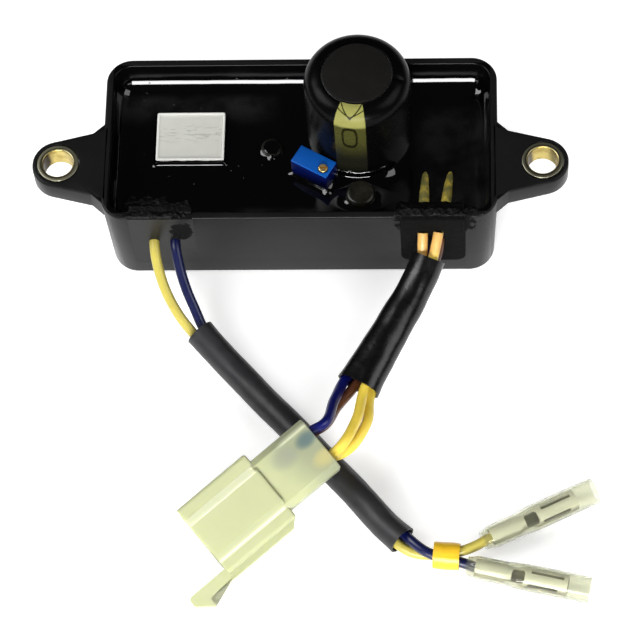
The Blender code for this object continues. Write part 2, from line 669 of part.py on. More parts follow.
def trimmer_frame():
    frame = bpy.data.objects.new("trimmer_frame", None)
    frame.location = (TRIMMER_X, TRIMMER_Y, BOARD_TOP + TRIMMER_STANDOFF)
    frame.rotation_euler = (0.0, 0.0, TRIMMER_HEADING)
    PARTS.objects.link(frame)
    return frame


def make_trimmer():
    """Blue case with the slotted adjusting screw in a recess of its top, near one end."""
    frame = trimmer_frame()
    half_x = TRIMMER_LENGTH / 2
    half_y = TRIMMER_WIDTH / 2
    case = block("trimmer_body", (-half_x, -half_y, 0.0), (half_x, half_y, TRIMMER_HEIGHT), "trimmer_blue",
                 frame, bevel=0.15 * mm)
    recess = cylinder("screw_recess", (SCREW_ALONG, SCREW_ACROSS), SCREW_RADIUS + SCREW_PLAY,
                      TRIMMER_HEIGHT - SCREW_DEPTH - GAP, TRIMMER_HEIGHT + WALL, parent=frame)
    boolean(case, recess)
    screw = cylinder("trimmer_screw", (SCREW_ALONG, SCREW_ACROSS), SCREW_RADIUS, TRIMMER_HEIGHT - SCREW_DEPTH,
                     TRIMMER_HEIGHT + SCREW_STAND, "brass", frame)
    reach = 2 * SCREW_RADIUS
    slot = block("screw_slot", (SCREW_ALONG - reach, SCREW_ACROSS - SCREW_SLOT / 2, TRIMMER_HEIGHT - SCREW_SLOT / 2),
                 (SCREW_ALONG + reach, SCREW_ACROSS + SCREW_SLOT / 2, TRIMMER_HEIGHT + 2 * SCREW_STAND),
                 parent=frame)
    boolean(screw, slot)


def make_small_can(name, x, y, radius, height):
    """A small can capacitor with a grooved foot and a rounded top edge."""
    groove = 0.12 * radius
    profile = [
        (0.0, height), (0.82 * radius, height), (radius, height - groove), (radius, 3 * groove),
        (radius - groove, 2 * groove), (radius, groove), (radius, 0.0), (0.0, 0.0),
    ]
    return turned(name, profile, "film_black", (x, y, BOARD_TOP + GAP), steps=SMALL_STEPS)


def make_leaded(name, x, y, heading, length, radius, material):
    """A round body with a bent lead at each end, standing on the board."""
    frame = bpy.data.objects.new(name + "_frame", None)
    frame.location = (x, y, BOARD_TOP + GAP)
    frame.rotation_euler = (0.0, 0.0, math.radians(heading))
    PARTS.objects.link(frame)
    bm = bmesh.new()
    bmesh.ops.create_cone(bm, cap_ends=True, segments=10, radius1=radius, radius2=radius, depth=length)
    body = smooth(place(mesh_of(bm, name), name, material, (0.0, 0.0, radius),
                        (0.0, math.radians(90.0), 0.0), frame))
    span = length / 2 + LEAD_REACH
    bend = 0.8 * mm
    points = [(-span, 0.0, 0.0), (-span, 0.0, radius - bend), (bend - span, 0.0, radius),
              (span - bend, 0.0, radius), (span, 0.0, radius - bend), (span, 0.0, 0.0)]
    lead = meshed(rod(name + "_lead", points, LEAD_RADIUS, parent=frame, resolution=1))
    return boolean(body, lead, "UNION")


def make_transistor():
    """Power transistor on its back: moulded body, metal tab and three legs."""
    seat = BOARD_TOP + GAP
    half = TRANSISTOR_WIDTH / 2
    x, y = TRANSISTOR_X, TRANSISTOR_Y
    low = y - TRANSISTOR_BODY
    body = block("power_transistor", (x - half, low, seat), (x + half, y, seat + TRANSISTOR_HEIGHT), "epoxy")
    tab = block("transistor_tab", (x - half, y - WALL, seat),
                (x + half, y + TRANSISTOR_TAB, seat + TRANSISTOR_TAB_THICKNESS))
    boolean(body, tab, "UNION")
    for k in (-1, 0, 1):
        middle = x + k * TRANSISTOR_LEG_PITCH
        leg = block("transistor_leg", (middle - TRANSISTOR_LEG_WIDTH / 2, low - TRANSISTOR_LEG, seat),
                    (middle + TRANSISTOR_LEG_WIDTH / 2, low + WALL, seat + TRANSISTOR_LEG_WIDTH / 2))
        boolean(body, leg, "UNION")
    return body


def pocket_round(thing):
    """A box that leaves a gap round a part on the board, down into the board's own hollow."""
    bpy.context.view_layer.update()
    graph = bpy.context.evaluated_depsgraph_get()
    solid = thing.evaluated_get(graph)
    corners = [thing.matrix_world @ Vector(corner) for corner in solid.bound_box]
    low = Vector([min(corner[k] for corner in corners) - GAP for k in range(3)])
    high = Vector([max(corner[k] for corner in corners) + GAP for k in range(3)])
    low.z = BOARD_TOP - GAP
    return block(thing.name + "_pocket", low, high)


def make_resin(wire_tools):
    """Resin poured round everything in the tub, with a rounded rise at the walls and at the big capacitor."""
    low = WALL + GAP
    resin = tub_shape("potting_resin", WALL + GAP, low, RESIN_LEVEL + MENISCUS_RISE, "resin")
    air = tub_shape("air_above", WALL + GAP + MENISCUS_LIP, RESIN_LEVEL, TUB_HEIGHT, edge_radius=MENISCUS)
    foot = CAPACITOR_RADIUS + GAP
    cove = [(0.0, RESIN_LEVEL + CAPACITOR_COVE)]
    for k in range(ARC_STEPS + 1):
        angle = math.radians(90.0) * k / ARC_STEPS
        cove.append((foot + CAPACITOR_COVE * (1.0 - math.cos(angle)) + GAP / 3,
                     RESIN_LEVEL + CAPACITOR_COVE * (1.0 - math.sin(angle))))
    cove += [(foot + CAPACITOR_COVE + GAP / 3, RESIN_LEVEL - WALL), (0.0, RESIN_LEVEL - WALL)]
    boolean(air, turned("capacitor_cove", cove, location=(CAPACITOR_X, CAPACITOR_Y, 0.0)))
    boolean(resin, air)
    board_low = BOARD_TOP - BOARD_THICKNESS - GAP
    half_x = outer_half(RIM_LENGTH, board_low) - WALL - BOARD_EDGE_SPACE + GAP
    half_y = outer_half(RIM_WIDTH, board_low) - WALL - BOARD_EDGE_SPACE + GAP
    radius = CORNER_RADIUS - WALL
    outline = rounded_outline([(-half_x, -half_y, radius), (half_x, -half_y, radius),
                               (half_x, half_y, radius), (-half_x, half_y, radius)])
    thickness = BOARD_THICKNESS + 2 * GAP
    boolean(resin, plate("board_hollow", outline, thickness, location=(0.0, 0.0, board_low + thickness / 2)))
    for spot in post_spots():
        boolean(resin, cylinder("post_hollow", spot, POST_RADIUS + GAP, 0.0, BOARD_TOP - BOARD_THICKNESS,
                                steps=12))
    for spot in capacitor_pin_spots():
        boolean(resin, cylinder("pin_hollow", spot, CAPACITOR_PIN_RADIUS + GAP,
                                BOARD_TOP - BOARD_THICKNESS - PIN_REACH - GAP, BOARD_TOP, steps=8))
    boolean(resin, cylinder("capacitor_hollow", (CAPACITOR_X, CAPACITOR_Y), foot, BOARD_TOP - GAP,
                            TUB_HEIGHT, steps=ROUND_STEPS))
    for name, (x, y, radius, height) in SMALL_CANS.items():
        boolean(resin, cylinder(name + "_hollow", (x, y), radius + GAP, BOARD_TOP - GAP, TUB_HEIGHT))
    frame = bpy.data.objects["trimmer_frame"]
    half = Vector((TRIMMER_LENGTH / 2 + GAP, TRIMMER_WIDTH / 2 + GAP, 0.0))
    boolean(resin, block("trimmer_hollow", -half - Vector((0, 0, TRIMMER_STANDOFF + GAP)),
                         half + Vector((0, 0, TRIMMER_HEIGHT)), parent=frame))
    for name in ["resistor_case", "power_transistor"] + list(LEADED_PARTS):
        boolean(resin, pocket_round(bpy.data.objects[name]))
    for x in (LEFT_SLOT_X, RIGHT_SLOT_X):
        inner = front_wall_face() + WALL + GAP + SEALANT_REACH_IN
        bed = block("sealant_bed", (x - SLOT_WIDTH / 2, -RIM_WIDTH / 2, PLUG_TOP),
                    (x + SLOT_WIDTH / 2, inner + SEALANT_LUMP + GAP, TUB_HEIGHT))
        boolean(resin, bed)
    for tool in wire_tools:
        boolean(resin, tool)
    return resin


def smooth_route(points, spacing):
    """Points read from a smooth curve through the route's own points, and where those points lie in it.

    Between two route points the curve is a cubic whose end slopes are the chord slopes of the
    neighbours, weighted by the lengths of the chords.
    """
    route = [Vector(point) for point in points]
    lengths = [(b - a).length for a, b in zip(route, route[1:])]
    slopes = []
    for i in range(len(route)):
        if i == 0:
            slopes.append((route[1] - route[0]) / lengths[0])
        elif i == len(route) - 1:
            slopes.append((route[-1] - route[-2]) / lengths[-1])
        else:
            before = (route[i] - route[i - 1]) / lengths[i - 1]
            after = (route[i + 1] - route[i]) / lengths[i]
            slopes.append((before * lengths[i] + after * lengths[i - 1]) / (lengths[i - 1] + lengths[i]))
    out = [route[0]]
    marks = [0]
    for i, length in enumerate(lengths):
        steps = max(1, round(length / spacing))
        for k in range(1, steps + 1):
            t = k / steps
            start = (1 + 2 * t) * (1 - t) ** 2 * route[i] + t * (1 - t) ** 2 * length * slopes[i]
            end = t * t * (3 - 2 * t) * route[i + 1] - t * t * (1 - t) * length * slopes[i + 1]
            out.append(start + end)
        marks.append(len(out) - 1)
    return out, marks


def at_slot(slot_x, points, base=0.0):
    """Points in millimetres from a slot's middle and the front rim, as points of the object."""
    corner = Vector((slot_x, -RIM_WIDTH / 2, base))
    return [corner + Vector(point) * mm for point in points]


def falling(slot_x, points, lie):
    """Points whose height is a share of the fall from the wires' way out down to where they lie."""
    way_out = BOARD_TOP + WIRE_RADIUS + GAP
    corner = Vector((slot_x, -RIM_WIDTH / 2, lie))
    return [corner + Vector((x * mm, y * mm, share * (way_out - lie))) for x, y, share in points]


def lanes(stations, radius, angles):
    """A path beside the stations, at one angle for each, from the right of travel towards up."""
    path = []
    for i, station in enumerate(stations):
        ahead = stations[min(i + 1, len(stations) - 1)] - stations[max(i - 1, 0)]
        side = ahead.cross(Vector((0.0, 0.0, 1.0))).normalized()
        up = side.cross(ahead).normalized()
        path.append(station + radius * (math.cos(angles[i]) * side + math.sin(angles[i]) * up))
    return path


def connector_place():
    return at_slot(RIGHT_SLOT_X, [CONNECTOR_PLACE])[0]


def connector_frame():
    frame = bpy.data.objects.new("connector_frame", None)
    frame.location = connector_place()
    frame.rotation_euler = (CONNECTOR_ROLL, CONNECTOR_TILT, CONNECTOR_HEADING)
    PARTS.objects.link(frame)
    return frame


def in_connector(x, y, z):
    turn = Euler((CONNECTOR_ROLL, CONNECTOR_TILT, CONNECTOR_HEADING)).to_matrix()
    return connector_place() + turn @ Vector((x, y, z))


def socket_point(socket, along):
    spot, heading = socket
    return at_slot(LEFT_SLOT_X, [spot])[0] + along * Vector((math.cos(heading), math.sin(heading), 0.0))


def left_wires():
    """Paths of the left pair, and of the black tube round it: the wires cross inside the tape."""
    spots = at_slot(LEFT_SLOT_X, LEFT_RUN + LEFT_TAPE_RUN)
    stations, marks = smooth_route(spots, WIRE_SPACING)
    tube_end = marks[len(LEFT_RUN) - 1]
    blue_angles = []
    for i in range(len(stations)):
        share = max(0, i - tube_end) / (len(stations) - 1 - tube_end)
        blue_angles.append(math.radians(150.0 * (1.0 - share)))
    yellow_angles = [angle - math.pi for angle in blue_angles]
    blue = at_slot(LEFT_SLOT_X, LEFT_BLUE_IN, BOARD_TOP) + falling(LEFT_SLOT_X, LEFT_BLUE_FALL, LEFT_LIE)
    blue += lanes(stations, LANE, blue_angles)
    blue += [socket_point(LOWER_SOCKET, 0.0), socket_point(LOWER_SOCKET, WIRE_IN_CRIMP)]
    yellow = at_slot(LEFT_SLOT_X, LEFT_YELLOW_IN, BOARD_TOP)
    yellow += falling(LEFT_SLOT_X, LEFT_YELLOW_FALL, LEFT_LIE)
    yellow += lanes(stations, LANE, yellow_angles)
    yellow += at_slot(LEFT_SLOT_X, LEFT_YELLOW_TURN)
    yellow += [socket_point(UPPER_SOCKET, 0.0), socket_point(UPPER_SOCKET, WIRE_IN_CRIMP)]
    paths = {
        "wire_left_yellow": smooth_route(yellow, WIRE_SPACING)[0],
        "wire_left_blue": smooth_route(blue, WIRE_SPACING)[0],
    }
    return paths, stations[:tube_end + 1]


def right_wires():
    """Paths of the right four, which turn inside their tube so that each faces its cell."""
    stations = smooth_route(falling(RIGHT_SLOT_X, RIGHT_RUN, RIGHT_LIE), WIRE_SPACING)[0]
    whole_turn = math.radians(90.0) - CONNECTOR_ROLL
    twist = [whole_turn * i / (len(stations) - 1) for i in range(len(stations))]
    rows = [
        ("wire_right_blue", RIGHT_BLUE_IN, -45.0, -1, 1),
        ("wire_right_yellow_a", RIGHT_YELLOW_A_IN, 45.0, 1, 1),
        ("wire_right_yellow_b", RIGHT_YELLOW_B_IN, 135.0, 1, -1),
        ("wire_right_brown", RIGHT_BROWN_IN, 225.0, -1, -1),
    ]
    paths = {}
    for name, start, angle, column, row in rows:
        angles = [math.radians(angle) + turn for turn in twist]
        path = at_slot(RIGHT_SLOT_X, start, BOARD_TOP) + lanes(stations, LANE * math.sqrt(2.0), angles)
        free = [stations[-1]] + at_slot(RIGHT_SLOT_X, [RIGHT_FREE])
        path += lanes(free, FREE_LANE, [angles[-1]] * 2)[1:]
        y = column * COLUMN_OFFSET
        z = row * ROW_OFFSET
        path += [in_connector(-CELL_LEAD, 0.86 * y, 0.85 * z), in_connector(0.0, y, z),
                 in_connector(WIRE_IN_CELL, y, z)]
        paths[name] = smooth_route(path, WIRE_SPACING)[0]
    return paths, stations


def wire_tools(paths, names):
    """Slightly fatter copies of wires, which leave the gap where they pass through a solid."""
    tools = []
    for name in names:
        inside = [point for point in paths[name] if point.y > -RIM_WIDTH / 2 - 2 * SEALANT_REACH_IN]
        lead = (inside[0] - inside[1]).normalized()
        inside[0] = inside[0] + lead * GAP
        tools.append(meshed(rod(name + "_way", inside, WIRE_RADIUS + GAP)))
    return tools


def make_black_tube(name, stations, lane_radius):
    """A soft tube round its wires, open at both ends."""
    inner = (lane_radius + WIRE_RADIUS + GAP) / math.cos(math.pi / TUBE_SIDES)
    skin = meshed(rod(name, stations, inner + TUBE_WALL, "tube_black", resolution=(TUBE_SIDES - 4) // 2,
                      caps=False))
    wall = skin.modifiers.new("wall", "SOLIDIFY")
    wall.thickness = TUBE_WALL
    wall.offset = -1.0
    return skin


def make_tape():
    inner = LANE + WIRE_RADIUS + GAP
    outer = inner + TAPE_THICKNESS
    half = TAPE_LENGTH / 2
    profile = [(outer, half), (outer, -half), (inner, -half), (inner, half)]
    along = Euler((0.0, math.radians(90.0), TAPE_HEADING))
    turned("tape_band", profile, "tape_yellow", at_slot(LEFT_SLOT_X, [TAPE_MIDDLE])[0], along, steps=SMALL_STEPS, ring=True)


def socket_frame(name, socket):
    """An empty at a socket's wire end, with +Z along the socket and +X down."""
    frame = bpy.data.objects.new(name, None)
    frame.location = socket_point(socket, 0.0)
    frame.rotation_euler = (0.0, math.radians(90.0), socket[1])
    PARTS.objects.link(frame)
    return frame


def make_socket(side, socket):
    """Bullet socket: crimp, open neck with a window, and a slit barrel; and its clear cover."""
    frame = socket_frame("socket_frame_" + side, socket)
    barrel = SOCKET_LENGTH - BARREL_LENGTH
    crimp_bore = WIRE_RADIUS + GAP
    step = 0.8 * mm
    profile = [
        (BARREL_RADIUS, SOCKET_LENGTH), (BARREL_RADIUS, barrel), (NECK_RADIUS, barrel - 1.5 * step),
        (NECK_RADIUS, CRIMP_LENGTH + step), (CRIMP_RADIUS, CRIMP_LENGTH), (CRIMP_RADIUS, 0.0),
        (crimp_bore, 0.0), (crimp_bore, CRIMP_LENGTH), (NECK_BORE, CRIMP_LENGTH + step),
        (NECK_BORE, barrel - step), (BARREL_BORE, barrel + step), (BARREL_BORE, SOCKET_LENGTH),
    ]
    shell = turned("socket_" + side, profile, "tin", parent=frame, steps=SMALL_STEPS, ring=True)
    slit = block("socket_slit", (-2 * BARREL_RADIUS, -SOCKET_SLIT / 2, barrel + 2 * step),
                 (0.0, SOCKET_SLIT / 2, SOCKET_LENGTH + WALL), parent=frame)
    boolean(shell, slit)
    window = block("socket_window", (-2 * BARREL_RADIUS, -WINDOW_WIDTH / 2, CRIMP_LENGTH + 1.5 * step),
                   (-NECK_BORE / 3, WINDOW_WIDTH / 2, barrel - step), parent=frame)
    boolean(shell, window)
    wide = BARREL_RADIUS + GAP + COVER_WALL
    middle = CRIMP_RADIUS + GAP + COVER_WALL
    narrow = WIRE_RADIUS + 2 * GAP + COVER_WALL
    outside = [
        (wide, SOCKET_LENGTH + COVER_AT_MOUTH), (wide, barrel - step), (middle, barrel - 3 * step),
        (middle, -GAP), (narrow, -GAP - 2 * step), (narrow, -COVER_AT_WIRE),
    ]
    inside = [(radius - COVER_WALL, height) for radius, height in reversed(outside)]
    turned("socket_cover_" + side, outside + inside, "cover_clear", parent=frame, steps=SMALL_STEPS, ring=True)


def shroud_outline(inset):
    """The shroud end on: a flat crown between bevels and two lower shelves."""
    half = SHROUD_WIDTH / 2 - inset
    top = SHROUD_HEIGHT / 2 - inset
    crown = SHROUD_CROWN_WIDTH / 2 - inset / 3
    shelf = top - SHROUD_SHELF_DROP
    corner = max(SHROUD_CORNER - inset / 2, GAP)
    right = [(half, -top, corner), (half, shelf, corner), (crown + SHROUD_BEVEL, shelf, 0.0), (crown, top, 0.0)]
    left = [(-y, z, radius) for y, z, radius in reversed(right)]
    return rounded_outline(right + left)


def neck_outline():
    half = NECK_WIDTH / 2
    top = NECK_HEIGHT / 2
    cut = NECK_CHAMFER
    right = [(half - cut, -top, 0.0), (half, cut - top, 0.0), (half, top - cut, 0.0), (half - cut, top, 0.0)]
    left = [(-y, z, radius) for y, z, radius in reversed(right)]
    return rounded_outline(right + left)


def section(name, outline, start, end, frame, material=None):
    """An outline in the connector's YZ plane, carried along its X axis."""
    turn = (math.radians(90.0), 0.0, math.radians(90.0))
    return plate(name, outline, end - start, material, ((start + end) / 2, 0.0, 0.0), turn, frame)


def latch_outline():
    """The latch arm from above: a strip along the outside of the side wall, ending in a hook."""
    wall = SHROUD_WIDTH / 2
    inner = wall - ARM_BITE
    outer = wall + ARM_THICKNESS
    root = NECK_LENGTH + ARM_START
    end = NECK_LENGTH + SHROUD_LENGTH + ARM_REACH
    back = end - HOOK_BACK
    return [(root, inner), (back, inner), (end, wall), (end, outer - ARM_BITE / 2),
            (back, outer + HOOK_BARB), (back, outer), (root + ARM_THICKNESS, outer), (root, wall)]


def make_connector():
    """Four-way housing in one moulding: cells at the wire end, a shroud and a hooked latch arm."""
    frame = connector_frame()
    mouth = NECK_LENGTH + SHROUD_LENGTH
    body = section("connector_housing", shroud_outline(0.0), NECK_LENGTH, mouth, frame, "nylon")
    boolean(body, section("connector_neck", neck_outline(), 0.0, NECK_LENGTH + DIVIDER / 2, frame), "UNION")
    floor = NECK_LENGTH + DIVIDER
    boolean(body, section("shroud_hollow", shroud_outline(SHROUD_WALL), floor, mouth + WALL, frame))
    boolean(body, plate("latch_arm", latch_outline(), ARM_HEIGHT, parent=frame), "UNION")
    count = 0
    for column in (-1, 1):
        for row in (1, -1):
            count += 1
            y = column * COLUMN_OFFSET
            z = row * ROW_OFFSET
            cell = block("wire_cell", (-WALL, y - CELL_WIDTH / 2, z - CELL_HEIGHT / 2),
                         (NECK_LENGTH, y + CELL_WIDTH / 2, z + CELL_HEIGHT / 2), parent=frame)
            boolean(body, cell)
            way = block("blade_way", (NECK_LENGTH - WALL, y - BLADE_WIDTH / 2 - GAP, z - BLADE_THICKNESS / 2 - GAP),
                        (floor + WALL, y + BLADE_WIDTH / 2 + GAP, z + BLADE_THICKNESS / 2 + GAP), parent=frame)
            boolean(body, way)
            make_blade("blade_terminal_%d" % count, y, z, floor, frame)
    return body


def make_blade(name, y, z, floor, frame):
    """Flat blade with the round crimp that grips its wire's end."""
    half = BLADE_WIDTH / 2
    tip = floor + BLADE_FREE
    taper = 1.2 * mm
    start = CRIMP_AT + BLADE_CRIMP_LENGTH / 2
    outline = [(start, -half), (tip - taper, -half), (tip, taper - half), (tip, half - taper),
               (tip - taper, half), (start, half)]
    blade = plate(name, outline, BLADE_THICKNESS, "tin", (0.0, y, z), parent=frame)
    crimp_end = CRIMP_AT + BLADE_CRIMP_LENGTH
    crimp = meshed(rod(name + "_crimp", [(CRIMP_AT, y, z), (crimp_end, y, z)], BLADE_CRIMP_RADIUS, parent=frame))
    return boolean(blade, crimp, "UNION")


def main():
    left_paths, left_tube = left_wires()
    right_paths, right_tube = right_wires()
    paths = {**left_paths, **right_paths}
    left_tools = wire_tools(paths, ["wire_left_yellow", "wire_left_blue"])
    low_tools = wire_tools(paths, ["wire_right_blue", "wire_right_brown"])
    high_tools = wire_tools(paths, ["wire_right_yellow_a", "wire_right_yellow_b"])
    make_tub()
    make_bushings()
    make_plug("wall_plug_left", LEFT_SLOT_X, left_tools)
    make_plug("wall_plug_right", RIGHT_SLOT_X, low_tools)
    make_sealant("sealant_left", LEFT_SLOT_X, [])
    make_sealant("sealant_right", RIGHT_SLOT_X, high_tools)
    make_board()
    make_capacitor()
    make_resistor()
    make_trimmer()
    for name, sizes in SMALL_CANS.items():
        make_small_can(name, *sizes)
    for name, sizes in LEADED_PARTS.items():
        make_leaded(name, *sizes)
    make_transistor()
    make_resin(left_tools + low_tools + high_tools)
    for name, path in paths.items():
        rod(name, path, WIRE_RADIUS, wire_finish(name))
    make_black_tube("harness_tube_left", left_tube, LANE)
    make_black_tube("harness_tube_right", right_tube, LANE * math.sqrt(2.0))
    make_tape()
    make_socket("upper", UPPER_SOCKET)
    make_socket("lower", LOWER_SOCKET)
    make_connector()


def wire_finish(name):
    for colour in ("yellow", "blue", "brown"):
        if colour in name:
            return "wire_" + colour
    raise ValueError(name)


main()
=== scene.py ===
import math

import bmesh
import bpy
import numpy as np
from mathutils import Euler, Matrix, Vector


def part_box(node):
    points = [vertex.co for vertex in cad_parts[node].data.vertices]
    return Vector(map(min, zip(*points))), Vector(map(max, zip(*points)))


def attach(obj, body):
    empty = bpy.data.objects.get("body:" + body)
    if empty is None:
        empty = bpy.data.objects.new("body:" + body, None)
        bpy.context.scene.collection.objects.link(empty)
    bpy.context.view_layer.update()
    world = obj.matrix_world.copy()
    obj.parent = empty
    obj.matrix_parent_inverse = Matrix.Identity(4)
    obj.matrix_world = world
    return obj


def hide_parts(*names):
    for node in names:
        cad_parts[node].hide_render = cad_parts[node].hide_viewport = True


bl_info = {
    "name": "Potted Voltage Regulator",
    "version": (1, 0, 0),
    "blender": (4, 5, 0),
    "location": "View3D > Sidebar > Regulator",
    "description": "Dresses the packed regulator with detailed surfaces and finishes",
    "category": "Add Mesh",
}

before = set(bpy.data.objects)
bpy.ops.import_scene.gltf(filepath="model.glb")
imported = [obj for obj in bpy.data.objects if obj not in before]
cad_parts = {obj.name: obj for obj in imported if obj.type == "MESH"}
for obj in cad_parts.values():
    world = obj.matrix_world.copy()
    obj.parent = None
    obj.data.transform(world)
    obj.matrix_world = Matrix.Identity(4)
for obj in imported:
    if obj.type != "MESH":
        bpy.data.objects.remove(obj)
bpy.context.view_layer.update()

mm = 0.001
BODY = "regulator"
TURNING_BODY = "adjuster"


# Sizes that a user may change

class RegulatorTub(bpy.types.PropertyGroup):
    rim_length: bpy.props.FloatProperty(
        name="Rim length", description="Length of the tub at its rim", default=91.4 * mm, unit="LENGTH")
    rim_width: bpy.props.FloatProperty(
        name="Rim width", description="Width of the tub at its rim", default=43.0 * mm, unit="LENGTH")
    height: bpy.props.FloatProperty(
        name="Height", description="Height of the tub", default=27.0 * mm, unit="LENGTH")
    draft: bpy.props.FloatProperty(
        name="Draft", description="How far each wall leans out over its height", default=0.8 * mm, unit="LENGTH")
    wall: bpy.props.FloatProperty(
        name="Wall", description="Thickness of the walls and the floor", default=1.8 * mm, unit="LENGTH")
    corner: bpy.props.FloatProperty(
        name="Corner radius", description="Radius of the tub's upright corners", default=6.0 * mm, unit="LENGTH")
    plastic: bpy.props.FloatVectorProperty(
        name="Plastic", description="Colour of the moulded tub", default=(0.0045, 0.0045, 0.0045),
        subtype="COLOR", min=0.0, max=1.0)


class RegulatorResin(bpy.types.PropertyGroup):
    level: bpy.props.FloatProperty(
        name="Level", description="Height of the resin's flat surface", default=19.0 * mm, unit="LENGTH")
    meniscus: bpy.props.FloatProperty(
        name="Meniscus", description="Radius of the rise along the walls", default=3.0 * mm, unit="LENGTH")
    colour: bpy.props.FloatVectorProperty(
        name="Colour", description="Colour of the potting resin", default=(0.0008, 0.0008, 0.001),
        subtype="COLOR", min=0.0, max=1.0)


class RegulatorCapacitor(bpy.types.PropertyGroup):
    middle: bpy.props.FloatVectorProperty(
        name="Middle", description="Where the can stands", default=(13.6 * mm, 6.0 * mm, 14.5 * mm),
        subtype="TRANSLATION", unit="LENGTH")
    radius: bpy.props.FloatProperty(
        name="Radius", description="Outer radius of the shrunk film", default=12.3 * mm, unit="LENGTH")
    top: bpy.props.FloatProperty(
        name="Top", description="Height of the film's fold", default=45.0 * mm, unit="LENGTH")
    shoulder: bpy.props.FloatProperty(
        name="Shoulder", description="Radius of the rounded shoulder", default=4.1 * mm, unit="LENGTH")
    stripe: bpy.props.FloatVectorProperty(
        name="Stripe", description="Colour of the polarity stripe", default=(0.26, 0.255, 0.074),
        subtype="COLOR", min=0.0, max=1.0)


class RegulatorWires(bpy.types.PropertyGroup):
    diameter: bpy.props.FloatProperty(
        name="Diameter", description="Outside diameter of a wire", default=2.4 * mm, unit="LENGTH")
    yellow: bpy.props.FloatVectorProperty(
        name="Yellow", description="Colour of the yellow wires", default=(0.92, 0.69, 0.085),
        subtype="COLOR", min=0.0, max=1.0)
    blue: bpy.props.FloatVectorProperty(
        name="Blue", description="Colour of the blue wires", default=(0.0015, 0.004, 0.105),
        subtype="COLOR", min=0.0, max=1.0)
    brown: bpy.props.FloatVectorProperty(
        name="Brown", description="Colour of the brown wire", default=(0.13, 0.045, 0.02),
        subtype="COLOR", min=0.0, max=1.0)


class RegulatorConnector(bpy.types.PropertyGroup):
    nylon: bpy.props.FloatVectorProperty(
        name="Nylon", description="Colour of the connector", default=(0.44, 0.46, 0.27),
        subtype="COLOR", min=0.0, max=1.0)
    cover: bpy.props.FloatVectorProperty(
        name="Cover", description="Colour of the clear socket covers", default=(0.85, 0.86, 0.72),
        subtype="COLOR", min=0.0, max=1.0)


def settings(group):
    """A property group of the scene by its name."""
    return getattr(bpy.context.scene, group)


# Shader maths

class Value:
    """One output of a shader node. Arithmetic on it adds Math nodes."""

    def __init__(self, finish, socket):
        self.finish = finish
        self.socket = socket

    def maths(self, operation, *numbers):
        return self.finish.node("ShaderNodeMath", {"operation": operation}, dict(enumerate(numbers)))

    def __add__(self, other):
        return self.maths("ADD", self, other)

    __radd__ = __add__

    def __sub__(self, other):
        return self.maths("SUBTRACT", self, other)

    def __rsub__(self, other):
        return self.maths("SUBTRACT", other, self)

    def __mul__(self, other):
        return self.maths("MULTIPLY", self, other)

    __rmul__ = __mul__

    def __truediv__(self, other):
        return self.maths("DIVIDE", self, other)

    def __rtruediv__(self, other):
        return self.maths("DIVIDE", other, self)

    def __pow__(self, other):
        return self.maths("POWER", self, other)

    def __abs__(self):
        return self.maths("ABSOLUTE", self)

    def sine(self):
        return self.maths("SINE", self)

    def angle_from(self, across):
        return self.maths("ARCTAN2", self, across)

    def higher(self, other):
        return self.maths("MAXIMUM", self, other)

    def lower(self, other):
        return self.maths("MINIMUM", self, other)

    def step(self, low, high):
        """0 up to low, 1 from high, and smooth in between; turned round where high is below low."""
        return self.finish.node("ShaderNodeMapRange", {"interpolation_type": "SMOOTHSTEP"},
                                {"Value": self, "From Min": low, "From Max": high})


